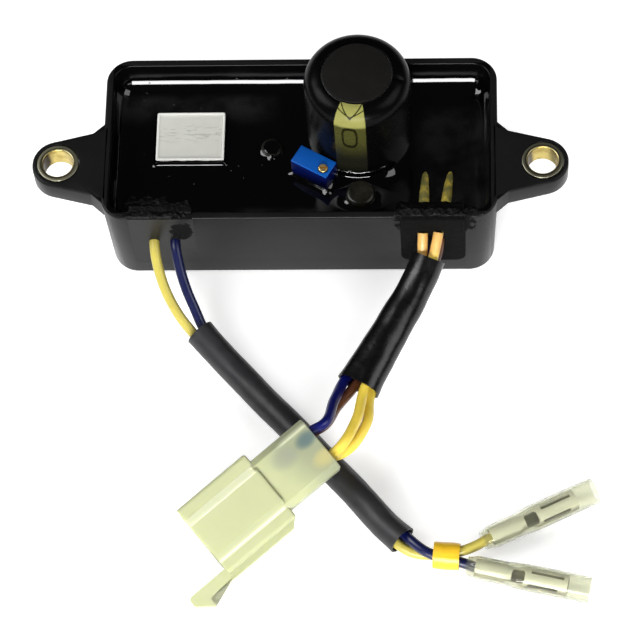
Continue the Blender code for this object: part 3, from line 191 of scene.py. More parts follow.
class Finish:
    """A procedural material built on one Principled shader."""

    def __init__(self, name):
        self.material = bpy.data.materials.new(name)
        self.material.use_nodes = True
        self.tree = self.material.node_tree
        self.tree.nodes.clear()
        self.shader = self.tree.nodes.new("ShaderNodeBsdfPrincipled")
        self.out = self.tree.nodes.new("ShaderNodeOutputMaterial")
        self.tree.links.new(self.shader.outputs[0], self.out.inputs["Surface"])
        self.coordinates = None

    def feed(self, socket, value):
        if isinstance(value, Value):
            self.tree.links.new(value.socket, socket)
        elif isinstance(value, (tuple, list)) and socket.type == "RGBA" and len(value) == 3:
            socket.default_value = (*value, 1.0)
        else:
            socket.default_value = value

    def node(self, kind, choices=None, inputs=None, output=0):
        """A node of this kind: its choices are set first, then the values or links of its inputs."""
        node = self.tree.nodes.new(kind)
        for key, choice in (choices or {}).items():
            if key == "stops":
                ramp = node.color_ramp
                while len(ramp.elements) < len(choice):
                    ramp.elements.new(0.5)
                for element, (spot, colour) in zip(ramp.elements, choice):
                    element.position = spot
                    element.color = (*colour, 1.0)
            else:
                setattr(node, key, choice)
        for key, value in (inputs or {}).items():
            self.feed(node.inputs[key], value)
        return Value(self, node.outputs[output])

    def place(self):
        """Object coordinates, which are the object's own metres."""
        if self.coordinates is None:
            self.coordinates = self.node("ShaderNodeTexCoord", output="Object")
        return self.coordinates

    def axes(self, at=None):
        """The x, y and z of a vector, as three values."""
        split = self.tree.nodes.new("ShaderNodeSeparateXYZ")
        self.feed(split.inputs[0], at or self.place())
        return [Value(self, output) for output in split.outputs]

    def noise(self, scale, detail=3.0, roughness=0.5, distortion=0.0, at=None):
        return self.node("ShaderNodeTexNoise", None, {
            "Vector": at or self.place(), "Scale": scale, "Detail": detail, "Roughness": roughness,
            "Distortion": distortion})

    def cells(self, scale, feature="F1", at=None):
        return self.node("ShaderNodeTexVoronoi", {"feature": feature}, {
            "Vector": at or self.place(), "Scale": scale})

    def stretch(self, scale):
        return self.node("ShaderNodeVectorMath", {"operation": "MULTIPLY"}, {0: self.place(), 1: scale})

    def blend(self, factor, first, second):
        """The first colour where the factor is 0, the second where it is 1."""
        return self.node("ShaderNodeMix", {"data_type": "RGBA"}, {0: factor, 6: first, 7: second}, output=2)

    def bump(self, height, depth, strength=1.0, after=None):
        inputs = {"Height": height, "Distance": depth, "Strength": strength}
        if after is not None:
            inputs["Normal"] = after
        return self.node("ShaderNodeBump", None, inputs)

    def set(self, **sockets):
        for name, value in sockets.items():
            self.feed(self.shader.inputs[name.replace("_", " ")], value)
        return self.material


def tub_plastic():
    """Moulded plastic: rubbed outside, with painted shade that darkens it inside the tub, and with a blot of sealant by
    the left blue wire.
    """
    finish = Finish("tub_plastic")
    x, y, z = finish.axes()
    grain = finish.noise(2600.0, 2.0)
    cloud = finish.noise(90.0, 4.0, 0.6)
    rub = finish.noise(260.0, 5.0, 0.7, 0.4).step(0.60, 0.78)
    # Painted shade: the inner walls get a darker colour than the outside.
    inside = abs(x).step(44.3 * mm, 44.0 * mm) * abs(y).step(20.1 * mm, 19.8 * mm)
    ragged = finish.noise(480.0, 4.0, 0.65)

    def blot_at(at_x, at_z, size_x, size_z):
        far = (((x - at_x) / size_x) ** 2.0 + ((z - at_z) / size_z) ** 2.0) ** 0.5
        return (far + (ragged - 0.5) * 1.3).step(0.95, 0.80)

    blot = blot_at(-27.2 * mm, 20.6 * mm, 2.9 * mm, 4.4 * mm).higher(blot_at(31.5 * mm, 24.5 * mm, 10.5 * mm, 7.0 * mm))
    blot = blot * y.step(-20.0 * mm, -20.4 * mm)
    # The painted shade inside the tub and the sealant blots take one dark colour.
    painted_shade_and_sealant = inside.higher(blot)
    dark = settings("regulator_tub").plastic[:]
    colour = finish.blend(cloud * 0.6 + rub * 0.35, dark, tuple(c * 2.2 + 0.002 for c in dark))
    colour = finish.blend(painted_shade_and_sealant, colour, (0.0012, 0.0012, 0.0014))
    normal = finish.bump(grain, 0.03 * mm, 0.5, finish.bump(cloud + blot * ragged * 3.0, 0.25 * mm, 0.25))
    return finish.set(Base_Color=colour, Normal=normal, Specular_IOR_Level=0.11,
                      Roughness=(cloud * 0.16 + rub * 0.14 + 0.24) * (1.0 - inside * 0.35) + blot * 0.6)


def glossy_resin():
    """Black resin: mirror-like, with veils behind the block, beside the can and along the front wall, which are rougher
    dust and a lighter colour that is partly a painted reflection.
    """
    finish = Finish("glossy_resin")
    x, y, z = finish.axes()
    cloud = finish.noise(150.0, 4.0, 0.65)
    fine = finish.noise(620.0, 4.0, 0.7)
    specks = finish.cells(520.0).step(0.10, 0.03) * finish.noise(70.0, 1.0).step(0.52, 0.62)
    behind = x.step(-4.0 * mm, -12.0 * mm) * y.step(7.0 * mm, 13.0 * mm) * y.step(17.0 * mm, 14.5 * mm)
    beside = x.step(25.0 * mm, 31.0 * mm) * y.step(14.0 * mm, 8.0 * mm)
    along = abs(x + 4.0 * mm).step(12.0 * mm, 8.0 * mm) * y.step(-13.5 * mm, -16.0 * mm)
    # Veils: dust that roughens the resin, plus a lighter colour that is partly a painted reflection.
    dust_and_painted_reflection = (behind * 0.45 + beside * 0.5 + along * 0.5).lower(1.0) * (cloud.step(0.30, 0.62) * 0.7 + fine * 0.3)
    base = settings("regulator_resin").colour[:]
    colour = finish.blend(dust_and_painted_reflection, base, (0.021, 0.021, 0.022))
    colour = finish.blend(specks * 0.3, colour, (0.02, 0.02, 0.02))
    waves = finish.bump(finish.noise(55.0, 2.0), 0.7 * mm, 0.4)
    normal = finish.bump(specks, 0.12 * mm, 0.6, waves)
    return finish.set(Base_Color=colour, Roughness=dust_and_painted_reflection * 0.30 + 0.05, Normal=normal)


def black_sealant(name, gloss, shade):
    """Lumpy black sealant, dull or wet, and always dull on the face that hangs down over the front wall."""
    finish = Finish(name)
    hanging = finish.axes()[1].step(-21.2 * mm, -21.6 * mm)
    lumps = finish.noise(900.0, 5.0, 0.65, 0.6)
    pits = finish.cells(1300.0)
    colour = finish.blend(lumps, tuple(c * 0.4 for c in shade), shade)
    normal = finish.bump(pits, 0.10 * mm, 0.35, finish.bump(lumps, 0.4 * mm, 0.7))
    return finish.set(Base_Color=colour, Roughness=(lumps * 0.25 + gloss + hanging * 0.6).lower(1.0), Normal=normal,
                      Specular_IOR_Level=0.13)


def soft_black(name, grain_scale, gloss, lift=1.0):
    """Soft black plastic of tubes and plugs, with fine creases and dust."""
    finish = Finish(name)
    creases = finish.noise(grain_scale, 4.0, 0.6, 0.8)
    dust = finish.noise(1500.0, 3.0, 0.7).step(0.62, 0.80)
    colour = finish.blend(creases * 0.5 + dust * 0.3, tuple(lift * c for c in (0.0035, 0.0035, 0.004)),
                          tuple(lift * c for c in (0.012, 0.012, 0.013)))
    normal = finish.bump(creases, 0.22 * mm, 0.30)
    return finish.set(Base_Color=colour, Roughness=creases * 0.16 + gloss, Normal=normal, Specular_IOR_Level=0.38)


def shrunk_film():
    """Glossy black film with its olive polarity stripe, an oval mark on it and dark chevron lines over the fold;
    painted shade darkens the stripe below the shoulder and more towards the foot.
    """
    finish = Finish("shrunk_film")
    can = settings("regulator_capacitor")
    x, y, z = finish.axes()
    across = x - can.middle[0]
    ahead = can.middle[1] - y
    turn = across.angle_from(ahead) - math.radians(-7.6)
    half = math.radians(17.2)
    arc = turn * can.radius
    stripe = abs(turn).step(half + 0.012, half - 0.012)
    wear = finish.noise(420.0, 4.0, 0.6)
    fine = finish.noise(1500.0, 3.0, 0.6)
    pale = finish.blend(wear * 0.7 + fine * 0.3, can.stripe[:], tuple(c * 0.66 for c in can.stripe))
    # Painted shade: the stripe is darker on the upright side below the shoulder.
    below = z.step(can.top - 3.4 * mm, can.top - 4.6 * mm)
    olive = finish.blend(below, pale, finish.blend(0.92, pale, (0.030, 0.030, 0.007)))
    # Painted shade: the stripe darkens further towards the foot, down to the film's black.
    painted_shade_towards_foot = z.step(37.0 * mm, 26.0 * mm)
    olive = finish.blend(painted_shade_towards_foot * 0.9, olive, (0.004, 0.004, 0.0045))
    tall = (z - 36.6 * mm) / (4.4 * mm)
    wide = (arc + 0.1 * mm) / (1.9 * mm)
    ring = ((tall * tall) ** 1.6 + (wide * wide) ** 1.6) ** 0.3125
    oval = abs(ring - 0.86).step(0.16, 0.09)
    reach = ((across * across) + (ahead * ahead)) ** 0.5
    depth = (reach - 8.2 * mm) + (can.top - z).higher(0.0) * 0.8
    arrow = abs(abs(arc) * 1.25 + depth - 4.5 * mm).step(0.42 * mm, 0.18 * mm)
    second = abs(abs(arc) * 0.55 + depth - 4.0 * mm).step(0.26 * mm, 0.10 * mm)
    chevron = (arrow + second).lower(1.0) * z.step(can.top - 5.0 * mm, can.top - 4.2 * mm)
    olive = finish.blend((oval + chevron).lower(1.0) * 0.92, olive, (0.006, 0.006, 0.002))
    colour = finish.blend(stripe, (0.0012, 0.0012, 0.0014), olive)
    ripple = finish.noise(130.0, 3.0, 0.5, 0.3)
    normal = finish.bump(ripple, 0.25 * mm, 0.22, finish.bump(stripe, 0.02 * mm, 0.4))
    return finish.set(Base_Color=colour, Roughness=wear * 0.14 + 0.20, Normal=normal, Specular_IOR_Level=0.06)


def end_disc_vinyl():
    finish = Finish("end_disc_vinyl")
    mottle = finish.noise(900.0, 4.0, 0.6)
    blotch = finish.noise(220.0, 3.0, 0.6)
    colour = finish.blend(mottle * 0.5 + blotch * 0.5, (0.0030, 0.0028, 0.0025), (0.0080, 0.0074, 0.0066))
    normal = finish.bump(mottle, 0.06 * mm, 0.5)
    return finish.set(Base_Color=colour, Roughness=blotch * 0.2 + 0.50, Normal=normal, Specular_IOR_Level=0.10)


def white_ceramic():
    """White ceramic whose sides are wetted by the resin up to a ragged line."""
    finish = Finish("white_ceramic")
    cloud = finish.noise(300.0, 4.0, 0.6)
    grain = finish.noise(2200.0, 3.0)
    z = finish.axes()[2]
    wet = (z + (finish.noise(700.0, 4.0, 0.6) - 0.5) * (1.1 * mm)).step(21.05 * mm, 20.9 * mm)
    colour = finish.blend(cloud, (0.72, 0.72, 0.68), (0.62, 0.62, 0.58))
    colour = finish.blend(wet, colour, (0.003, 0.003, 0.003))
    normal = finish.bump(grain, 0.04 * mm, 0.5)
    return finish.set(Base_Color=colour, Roughness=(cloud * 0.15 + 0.42) * (1.0 - wet * 0.6), Normal=normal)


def grey_cement():
    """Smooth cement with faint smudges across its middle."""
    finish = Finish("grey_cement")
    cloud = finish.noise(240.0, 5.0, 0.65)
    streaks = finish.noise(1.0, 4.0, 0.6, 0.5, at=finish.stretch((330.0, 1500.0, 330.0)))
    y = finish.axes()[1]
    band = abs(y - 4.6 * mm).step(3.2 * mm, 0.6 * mm)
    smudge = streaks.step(0.50, 0.62) * band
    colour = finish.blend(cloud, (0.54, 0.54, 0.50), (0.46, 0.46, 0.42))
    colour = finish.blend(smudge * 0.55, colour, (0.27, 0.27, 0.24))
    normal = finish.bump(cloud, 0.12 * mm, 0.4)
    return finish.set(Base_Color=colour, Roughness=cloud * 0.2 + 0.55, Normal=normal)


def trimmer_blue():
    finish = Finish("trimmer_blue")
    cloud = finish.noise(500.0, 3.0)
    scuff = finish.noise(1400.0, 4.0, 0.7).step(0.62, 0.75)
    colour = finish.blend(cloud, (0.0008, 0.056, 0.27), (0.0012, 0.074, 0.34))
    colour = finish.blend(scuff * 0.15, colour, (0.05, 0.22, 0.55))
    # Painted shade: the sides below the top face are coloured dark navy.
    below = finish.axes()[2].step(24.80 * mm, 24.55 * mm)
    colour = finish.blend(below * 0.96, colour, (0.0008, 0.0015, 0.045))
    normal = finish.bump(cloud, 0.06 * mm, 0.3)
    return finish.set(Base_Color=colour, Roughness=cloud * 0.12 + 0.30, Normal=normal, Specular_IOR_Level=0.25)


def plated(name, bright, dull, roughness, scratch=900.0, metal=1.0):
    """Metal with fine scratches and a duller tone in patches."""
    finish = Finish(name)
    patch = finish.noise(380.0, 4.0, 0.6)
    lines = finish.noise(1.0, 3.0, 0.6, at=finish.stretch((scratch, scratch, scratch * 4.0)))
    colour = finish.blend(patch.step(0.35, 0.75), bright, dull)
    normal = finish.bump(lines, 0.03 * mm, 0.4)
    return finish.set(Base_Color=colour, Metallic=metal, Roughness=patch * 0.22 + roughness, Normal=normal)


def tinned_barrel():
    """Tin on a lying barrel: a painted highlight along its top, and painted shade in dull olive down its sides and
    inside it.
    """
    finish = Finish("tinned_brass")
    patch = finish.noise(700.0, 4.0, 0.6)
    lines = finish.noise(1.0, 3.0, 0.6, at=finish.stretch((1500.0, 1500.0, 6000.0)))
    lying = SOCKETS["upper"][0][2] * mm
    # Painted highlight and shade: bright above the barrel's axis, dark olive below it and inside.
    upward = (finish.axes()[2] + (patch - 0.5) * (0.7 * mm)).step(lying + 0.5 * mm, lying + 1.5 * mm)
    colour = finish.blend(upward, finish.blend(patch, (0.16, 0.15, 0.09), (0.26, 0.25, 0.16)),
                          finish.blend(patch, (0.95, 0.94, 0.86), (0.80, 0.79, 0.68)))
    normal = finish.bump(lines, 0.03 * mm, 0.4)
    return finish.set(Base_Color=colour, Metallic=0.15, Roughness=patch * 0.22 + 0.30, Normal=normal)


def turned_brass():
    """Brass bushing: dull grey collar, yellow bore with painted shade on its left side."""
    finish = Finish("turned_brass")
    x, y, z = finish.axes()
    away_x = abs(x) - HOLE_X
    reach = (away_x ** 2.0 + (y - HOLE_Y) ** 2.0) ** 0.5
    patch = finish.noise(420.0, 4.0, 0.6)
    lines = finish.noise(1.0, 3.0, 0.6, at=finish.stretch((1100.0, 1100.0, 2600.0)))
    bore = finish.blend(patch.step(0.35, 0.75), (0.66, 0.53, 0.17), (0.42, 0.31, 0.08))
    # Painted shade: the left side of each bore is dark.
    from_middle = x + HOLE_X - (x.step(-0.001, 0.001) * (2.0 * HOLE_X))
    painted_shade_in_bore = (from_middle + (patch - 0.5) * (1.6 * mm)).step(-1.9 * mm, -2.6 * mm) * reach.step(3.7 * mm, 3.5 * mm)
    bore = finish.blend(painted_shade_in_bore * 0.92, bore, (0.035, 0.018, 0.008))
    grey = finish.blend(patch, (0.42, 0.41, 0.30), (0.30, 0.285, 0.19))
    ring = abs(reach - 3.95 * mm).step(0.30 * mm, 0.12 * mm)
    grey = finish.blend(ring * 0.75, grey, (0.06, 0.05, 0.015))
    colour = finish.blend(reach.step(3.55 * mm, 3.72 * mm), bore, grey)
    normal = finish.bump(lines, 0.04 * mm, 0.4)
    return finish.set(Base_Color=colour, Metallic=1.0, Roughness=patch * 0.22 + 0.26, Normal=normal)


def wire_skin(name, colour, dulled=0.0, dull_colour=(0.15, 0.15, 0.055), aged=False):
    """Smooth wire insulation with slight unevenness and handling marks."""
    finish = Finish(name)
    cloud = finish.noise(420.0, 4.0, 0.6)
    marks = finish.noise(1700.0, 4.0, 0.7).step(0.60, 0.78)
    shade = tuple(c * 0.80 for c in colour)
    skin = finish.blend(cloud, colour, shade)
    skin = finish.blend(marks * 0.25, skin, tuple(c * 0.55 for c in colour))
    if dulled:
        skin = finish.blend(cloud.step(0.25, 0.6) * dulled + dulled * 0.25, skin, dull_colour)
    if aged:
        x, y, z = finish.axes()
        by_slot = x.step(15.0 * mm, 20.0 * mm) * (y + cloud * (2.0 * mm)).step(-27.0 * mm, -24.5 * mm)
        skin = finish.blend(by_slot * 0.85, skin, finish.blend(cloud, (0.64, 0.37, 0.13), (0.42, 0.20, 0.06)))
    normal = finish.bump(cloud, 0.10 * mm, 0.3)
    return finish.set(Base_Color=skin, Roughness=cloud * 0.15 + 0.26, Normal=normal)


def tape_film():
    finish = Finish("tape_film")
    cloud = finish.noise(350.0, 4.0, 0.6)
    folds = finish.noise(1.0, 3.0, 0.6, 0.4, at=finish.stretch((1500.0, 260.0, 260.0)))
    colour = finish.blend(cloud, (0.76, 0.49, 0.022), (0.60, 0.34, 0.010))
    normal = finish.bump(folds, 0.18 * mm, 0.5)
    return finish.set(Base_Color=colour, Roughness=cloud * 0.15 + 0.28, Normal=normal)


def clear_cover():
    """Clear soft vinyl with a faint olive tint."""
    finish = Finish("clear_cover")
    cloud = finish.noise(260.0, 3.0)
    tint = settings("regulator_connector").cover[:]
    colour = finish.blend(cloud, tint, tuple(c * 0.94 for c in tint))
    normal = finish.bump(cloud, 0.10 * mm, 0.25)
    return finish.set(Base_Color=colour, Roughness=cloud * 0.03 + 0.02, Normal=normal, Alpha=0.85,
                      Transmission_Weight=0.96, IOR=1.30)


def nylon():
    """Natural nylon: clearer and greyer over the cells, where the wires' colours show, with painted highlights on its
    ridges, painted light on its left bevel and painted shade on its right bevel.
    """
    finish = Finish("natural_nylon")
    cloud = finish.noise(120.0, 3.0, 0.5)
    grain = finish.noise(1800.0, 2.0)
    x, y, z = finish.axes()
    turn = Euler(CONNECTOR_TURN).to_matrix()
    spot = [x - CONNECTOR[0], y - CONNECTOR[1], z - CONNECTOR[2]]
    along, side, above = [spot[0] * way[0] + spot[1] * way[1] + spot[2] * way[2] for way in turn.col]

    def smudge(at_x, at_y, size_x, size_y):
        near = ((along - at_x) / size_x) ** 2.0 + ((side - at_y) / size_y) ** 2.0
        return (near + (cloud - 0.5) * 0.5).step(1.0, 0.0)

    body = settings("regulator_connector").nylon[:]
    colour = finish.blend(cloud, body, tuple(c * 0.95 for c in body))
    clear = (along + side * 0.35).step(13.5 * mm, 3.0 * mm)
    colour = finish.blend(clear * 0.75, colour, (0.24, 0.26, 0.18))
    colour = finish.blend(smudge(8.5 * mm, -2.4 * mm, 4.2 * mm, 3.2 * mm) * 0.55, colour, (0.23, 0.25, 0.21))
    colour = finish.blend(smudge(2.3 * mm, -2.6 * mm, 3.4 * mm, 2.3 * mm) * 0.85, colour, (0.075, 0.125, 0.14))
    colour = finish.blend(smudge(1.3 * mm, 3.0 * mm, 4.2 * mm, 2.6 * mm) * 0.75, colour, (0.48, 0.42, 0.18))
    top = above.step(3.9 * mm, 4.2 * mm)
    shroud = along.step(15.2 * mm, 15.8 * mm)
    # Painted highlights: pale lines along the crown's left edge, the right bevel's foot and the neck's left chamfer.
    lines = abs(side + 4.45 * mm).step(0.55 * mm, 0.20 * mm) + abs(side - 6.0 * mm).step(0.50 * mm, 0.15 * mm)
    rear = abs(side + 5.5 * mm).step(0.8 * mm, 0.3 * mm) * along.step(9.0 * mm, 6.0 * mm) * 0.5
    pale = (lines * shroud + rear * (1.0 - shroud)) * top
    colour = finish.blend(pale.lower(1.0) * 0.7, colour, (0.80, 0.82, 0.60))
    # Painted light on the shadowed left bevel.
    painted_light_left_bevel = abs(side + 5.3 * mm).step(0.95 * mm, 0.6 * mm) * shroud * above.step(4.2 * mm, 4.6 * mm)
    colour = finish.blend(painted_light_left_bevel * 0.8, colour, (0.86, 0.89, 0.62))
    # Painted shade: a thin darker band on the right bevel.
    painted_shade_right_bevel = abs(side - 4.75 * mm).step(0.6 * mm, 0.2 * mm) * shroud * top
    colour = finish.blend(painted_shade_right_bevel * 0.25, colour, tuple(c * 0.6 for c in body))
    normal = finish.bump(grain, 0.02 * mm, 0.4, finish.bump(cloud, 0.2 * mm, 0.2))
    return finish.set(Base_Color=colour, Roughness=cloud * 0.15 + 0.30, Normal=normal,
                      Subsurface_Weight=0.5, Subsurface_Radius=(1.0, 1.0, 0.6),
                      Subsurface_Scale=1.8 * mm, IOR=1.5, Specular_IOR_Level=0.22)


def board_laminate():
    finish = Finish("board_laminate")
    weave = finish.noise(1200.0, 2.0)
    colour = finish.blend(weave, (0.01, 0.08, 0.035), (0.02, 0.12, 0.05))
    return finish.set(Base_Color=colour, Roughness=weave * 0.2 + 0.35)


def moulded_epoxy():
    finish = Finish("moulded_epoxy")
    grain = finish.noise(2000.0, 3.0)
    colour = finish.blend(grain, (0.012, 0.012, 0.012), (0.028, 0.028, 0.028))
    return finish.set(Base_Color=colour, Roughness=grain * 0.2 + 0.40, Normal=finish.bump(grain, 0.03 * mm, 0.5))


def film_coat():
    finish = Finish("film_coat")
    cloud = finish.noise(700.0, 3.0)
    colour = finish.blend(cloud, (0.16, 0.30, 0.44), (0.22, 0.38, 0.52))
    return finish.set(Base_Color=colour, Roughness=cloud * 0.2 + 0.3)


def brown_coat():
    """Dark brown can under a thin coat of resin."""
    finish = Finish("brown_coat")
    cloud = finish.noise(260.0, 4.0, 0.6)
    colour = finish.blend(cloud.step(0.35, 0.7), (0.002, 0.002, 0.0015), (0.016, 0.014, 0.009))
    return finish.set(Base_Color=colour, Roughness=cloud * 0.25 + 0.20, Normal=finish.bump(cloud, 0.3 * mm, 0.3),
                      Specular_IOR_Level=0.3)


# Surfaces

def rounded_rectangle(half_x, half_y, radius, steps=10):
    """Outline, anticlockwise: each corner's centre plus radius times (cos a, sin a) over its quarter."""
    signs = np.array([(1, 1), (-1, 1), (-1, -1), (1, -1)], float)
    angles = np.arange(4)[:, None] * math.pi / 2 + np.linspace(0.0, math.pi / 2, steps + 1)
    centres = signs * (half_x - radius, half_y - radius)
    arcs = np.stack((np.cos(angles), np.sin(angles)), axis=-1) * radius
    return (centres[:, None] + arcs).reshape(-1, 2)


def at_height(outline, z):
    """An outline of the ground plan as a ring at height z."""
    return np.column_stack((outline, np.full(len(outline), z)))


def closed_ends(rings):
    """The rings with a point ring at the middle of each end, which closes the shape."""
    first = np.broadcast_to(rings[0].mean(axis=0), rings[0].shape)
    last = np.broadcast_to(rings[-1].mean(axis=0), rings[-1].shape)
    return np.concatenate((first[None], rings, last[None]))


def surface(name, grid, wrap_rows=False, wrap_columns=True):
    """Mesh of a grid of points: quads join each point to its neighbours in its row and column."""
    grid = np.asarray(grid, float)
    rows, columns = grid.shape[:2]
    index = np.arange(rows * columns).reshape(rows, columns)
    if wrap_rows:
        index = np.concatenate((index, index[:1]), axis=0)
    if wrap_columns:
        index = np.concatenate((index, index[:, :1]), axis=1)
    quads = np.stack((index[:-1, :-1], index[:-1, 1:], index[1:, 1:], index[1:, :-1]), axis=-1).reshape(-1, 4)
    mesh = bpy.data.meshes.new(name)
    mesh.from_pydata(grid.reshape(-1, 3).tolist(), [], quads.tolist())
    return welded(mesh)


def welded(mesh):
    """The mesh with its seams and poles closed and its faces outwards."""
    bm = bmesh.new()
    bm.from_mesh(mesh)
    bmesh.ops.remove_doubles(bm, verts=bm.verts, dist=0.002 * mm)
    bmesh.ops.recalc_face_normals(bm, faces=bm.faces)
    bm.to_mesh(mesh)
    bm.free()
    return mesh


def joined(name, meshes):
    """Several meshes in one."""
    bm = bmesh.new()
    for mesh in meshes:
        bm.from_mesh(mesh)
    whole = bpy.data.meshes.new(name)
    bm.to_mesh(whole)
    bm.free()
    return whole


def turned(profile, steps=64):
    """Rings of (r cos a, r sin a, z) for each (r, z) of a profile."""
    profile = np.asarray(profile, float)
    angles = np.linspace(0.0, 2 * math.pi, steps, endpoint=False)
    x = profile[:, :1] * np.cos(angles)
    y = profile[:, :1] * np.sin(angles)
    z = np.broadcast_to(profile[:, 1:], x.shape)
    return np.stack((x, y, z), axis=-1)


def quarter(centre_r, centre_z, radius, start, end, steps=8):
    """Arc points (centre_r + radius cos a, centre_z + radius sin a) from start to end, in degrees."""
    angles = np.radians(np.linspace(start, end, steps + 1))
    return np.column_stack((centre_r + radius * np.cos(angles), centre_z + radius * np.sin(angles)))


def rounded_block(low, high, edge, steps=5):
    """Rings up a box whose edges are rounded: each is a rounded rectangle, inset near top and bottom."""
    low, high = np.array(low, float), np.array(high, float)
    half = (high - low) / 2
    middle = (high + low) / 2
    angle = np.linspace(0.0, math.pi / 2, steps + 1)
    inset = np.concatenate((edge * (1 - np.sin(angle)), edge * (1 - np.cos(angle))))
    z = np.concatenate((low[2] + edge * (1 - np.cos(angle)), high[2] - edge * (1 - np.sin(angle))))
    rings = [at_height(rounded_rectangle(half[0] - d, half[1] - d, edge * 1.001 - d * 0.999, steps), h)
             for d, h in zip(inset, z)]
    return closed_ends(np.array(rings) + (middle[0], middle[1], 0.0))


def tube(path, radius, sides=20):
    """Rings about a path: point plus radius times (cos a along its level side, sin a along its upper side)."""
    path = np.asarray(path, float)
    ahead = np.gradient(path, axis=0)
    ahead /= np.linalg.norm(ahead, axis=1, keepdims=True)
    side = np.cross(ahead, (0.0, 0.0, 1.0))
    side /= np.linalg.norm(side, axis=1, keepdims=True)
    up = np.cross(side, ahead)
    angles = np.linspace(0.0, 2 * math.pi, sides, endpoint=False)
    radius = np.broadcast_to(radius, (len(path), sides))[..., None]
    round_part = np.cos(angles)[None, :, None] * side[:, None] + np.sin(angles)[None, :, None] * up[:, None]
    return path[:, None] + radius * round_part


def ripples(points, wave, seed):
    """Smooth unevenness from -1 to 1: the mean of five sines whose directions come from the seed."""
    rng = np.random.default_rng(seed)
    total = np.zeros(points.shape[:-1])
    for _ in range(5):
        way = rng.normal(size=3)
        way *= 2 * math.pi / (wave * rng.uniform(0.7, 1.5)) / np.linalg.norm(way)
        total += np.sin(points @ way + rng.uniform(0.0, 2 * math.pi))
    return total / 5


def moved(grid, matrix):
    """A grid's points carried by a matrix."""
    matrix = np.array(matrix)
    return grid @ matrix[:3, :3].T + matrix[:3, 3]


# Pieces

def piece(name, mesh, finish, replaces=(), slot=None, body=BODY, sharp=35.0):
    """A finished object at the origin that rides on a body."""
    thing = bpy.data.objects.new(name, mesh)
    bpy.context.scene.collection.objects.link(thing)
    mesh.materials.clear()
    mesh.materials.append(finish)
    mesh.shade_smooth()
    mesh.set_sharp_from_angle(angle=math.radians(sharp))
    if replaces:
        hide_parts(*replaces)
    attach(thing, body)
    return thing


def dress(finish, *nodes):
    """A better finish on solids that keep their shape."""
    for name in nodes:
        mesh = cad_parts[name].data
        mesh.materials.clear()
        mesh.materials.append(finish)


def taken(thing):
    """The object's mesh after its modifiers; the object goes."""
    bpy.context.view_layer.update()
    graph = bpy.context.evaluated_depsgraph_get()
    mesh = bpy.data.meshes.new_from_object(thing.evaluated_get(graph))
    bpy.data.objects.remove(thing)
    return mesh


def cut(mesh, cutters, operation="DIFFERENCE"):
    """The mesh less, or joined with, each cutter mesh, by exact Booleans."""
    thing = bpy.data.objects.new("shape", mesh)
    bpy.context.scene.collection.objects.link(thing)
    tools = []
    for cutter in cutters:
        tool = bpy.data.objects.new("tool", cutter)
        bpy.context.scene.collection.objects.link(tool)
        boolean = thing.modifiers.new("cut", "BOOLEAN")
        boolean.operation = operation
        boolean.solver = "EXACT"
        boolean.object = tool
        tools.append(tool)
    result = taken(thing)
    for tool in tools:
        bpy.data.objects.remove(tool)
    return result


# Tub

def wall_half(size, z, inset=0.0):
    """Half the tub's length or width at height z, less an inset: the walls lean out towards the rim."""
    tub = settings("regulator_tub")
    return size / 2 - tub.draft * (1.0 - z / tub.height) - inset


def tub_ring(inset, z, steps=14):
    tub = settings("regulator_tub")
    radius = max(tub.corner - inset, 0.8 * mm)
    outline = rounded_rectangle(wall_half(tub.rim_length, z, inset), wall_half(tub.rim_width, z, inset),
                                radius, steps)
    return at_height(outline, z)


def tub_shell():
    """Rings up the outside, over the rounded rim, down the inside and across the floor.

    Each is a rounded rectangle whose inset and height run along the wall's section.
    """
    tub = settings("regulator_tub")
    rows = []
    for a in np.linspace(0.0, math.pi / 2, 7):
        rows.append((1.0 * mm * (1 - math.sin(a)), 1.0 * mm * (1 - math.cos(a))))
    for a in np.linspace(0.0, math.pi / 2, 6):
        rows.append((0.55 * mm * (1 - math.cos(a)), tub.height - 0.55 * mm * (1 - math.sin(a))))
    for a in np.linspace(0.0, math.pi / 2, 6):
        rows.append((tub.wall - 0.4 * mm * (1 - math.sin(a)), tub.height - 0.4 * mm * (1 - math.cos(a))))
    for a in np.linspace(0.0, math.pi / 2, 5):
        rows.append((tub.wall + 1.0 * mm * (1 - math.cos(a)), tub.wall + 1.0 * mm * (1 - math.sin(a))))
    return surface("tub", closed_ends(np.array([tub_ring(inset, z) for inset, z in rows])))


def rounded_corners(corners):
    """Outline through (x, y, radius) corners, each replaced by its tangent arc."""
    spots = np.array([corner[:2] for corner in corners], float)
    out = []
    for i, (x, y, radius) in enumerate(corners):
        here = spots[i]
        before = spots[i - 1] - here
        after = spots[(i + 1) % len(spots)] - here
        before /= np.linalg.norm(before)
        after /= np.linalg.norm(after)
        if radius == 0.0:
            out.append(here[None])
            continue
        half = math.acos(np.clip(before @ after, -1.0, 1.0)) / 2
        middle = here + (before + after) / np.linalg.norm(before + after) * radius / math.sin(half)
        first = here + before * radius / math.tan(half) - middle
        last = here + after * radius / math.tan(half) - middle
        turn = math.atan2(first[0] * last[1] - first[1] * last[0], first @ last)
        angles = turn * np.linspace(0.0, 1.0, 13)
        cosine, sine = np.cos(angles), np.sin(angles)
        arc = np.column_stack((first[0] * cosine - first[1] * sine, first[0] * sine + first[1] * cosine))
        out.append(middle + arc)
    return np.concatenate(out)


EAR_THICKNESS = 5.5 * mm
HOLE_X = 56.0 * mm
HOLE_Y = -6.65 * mm


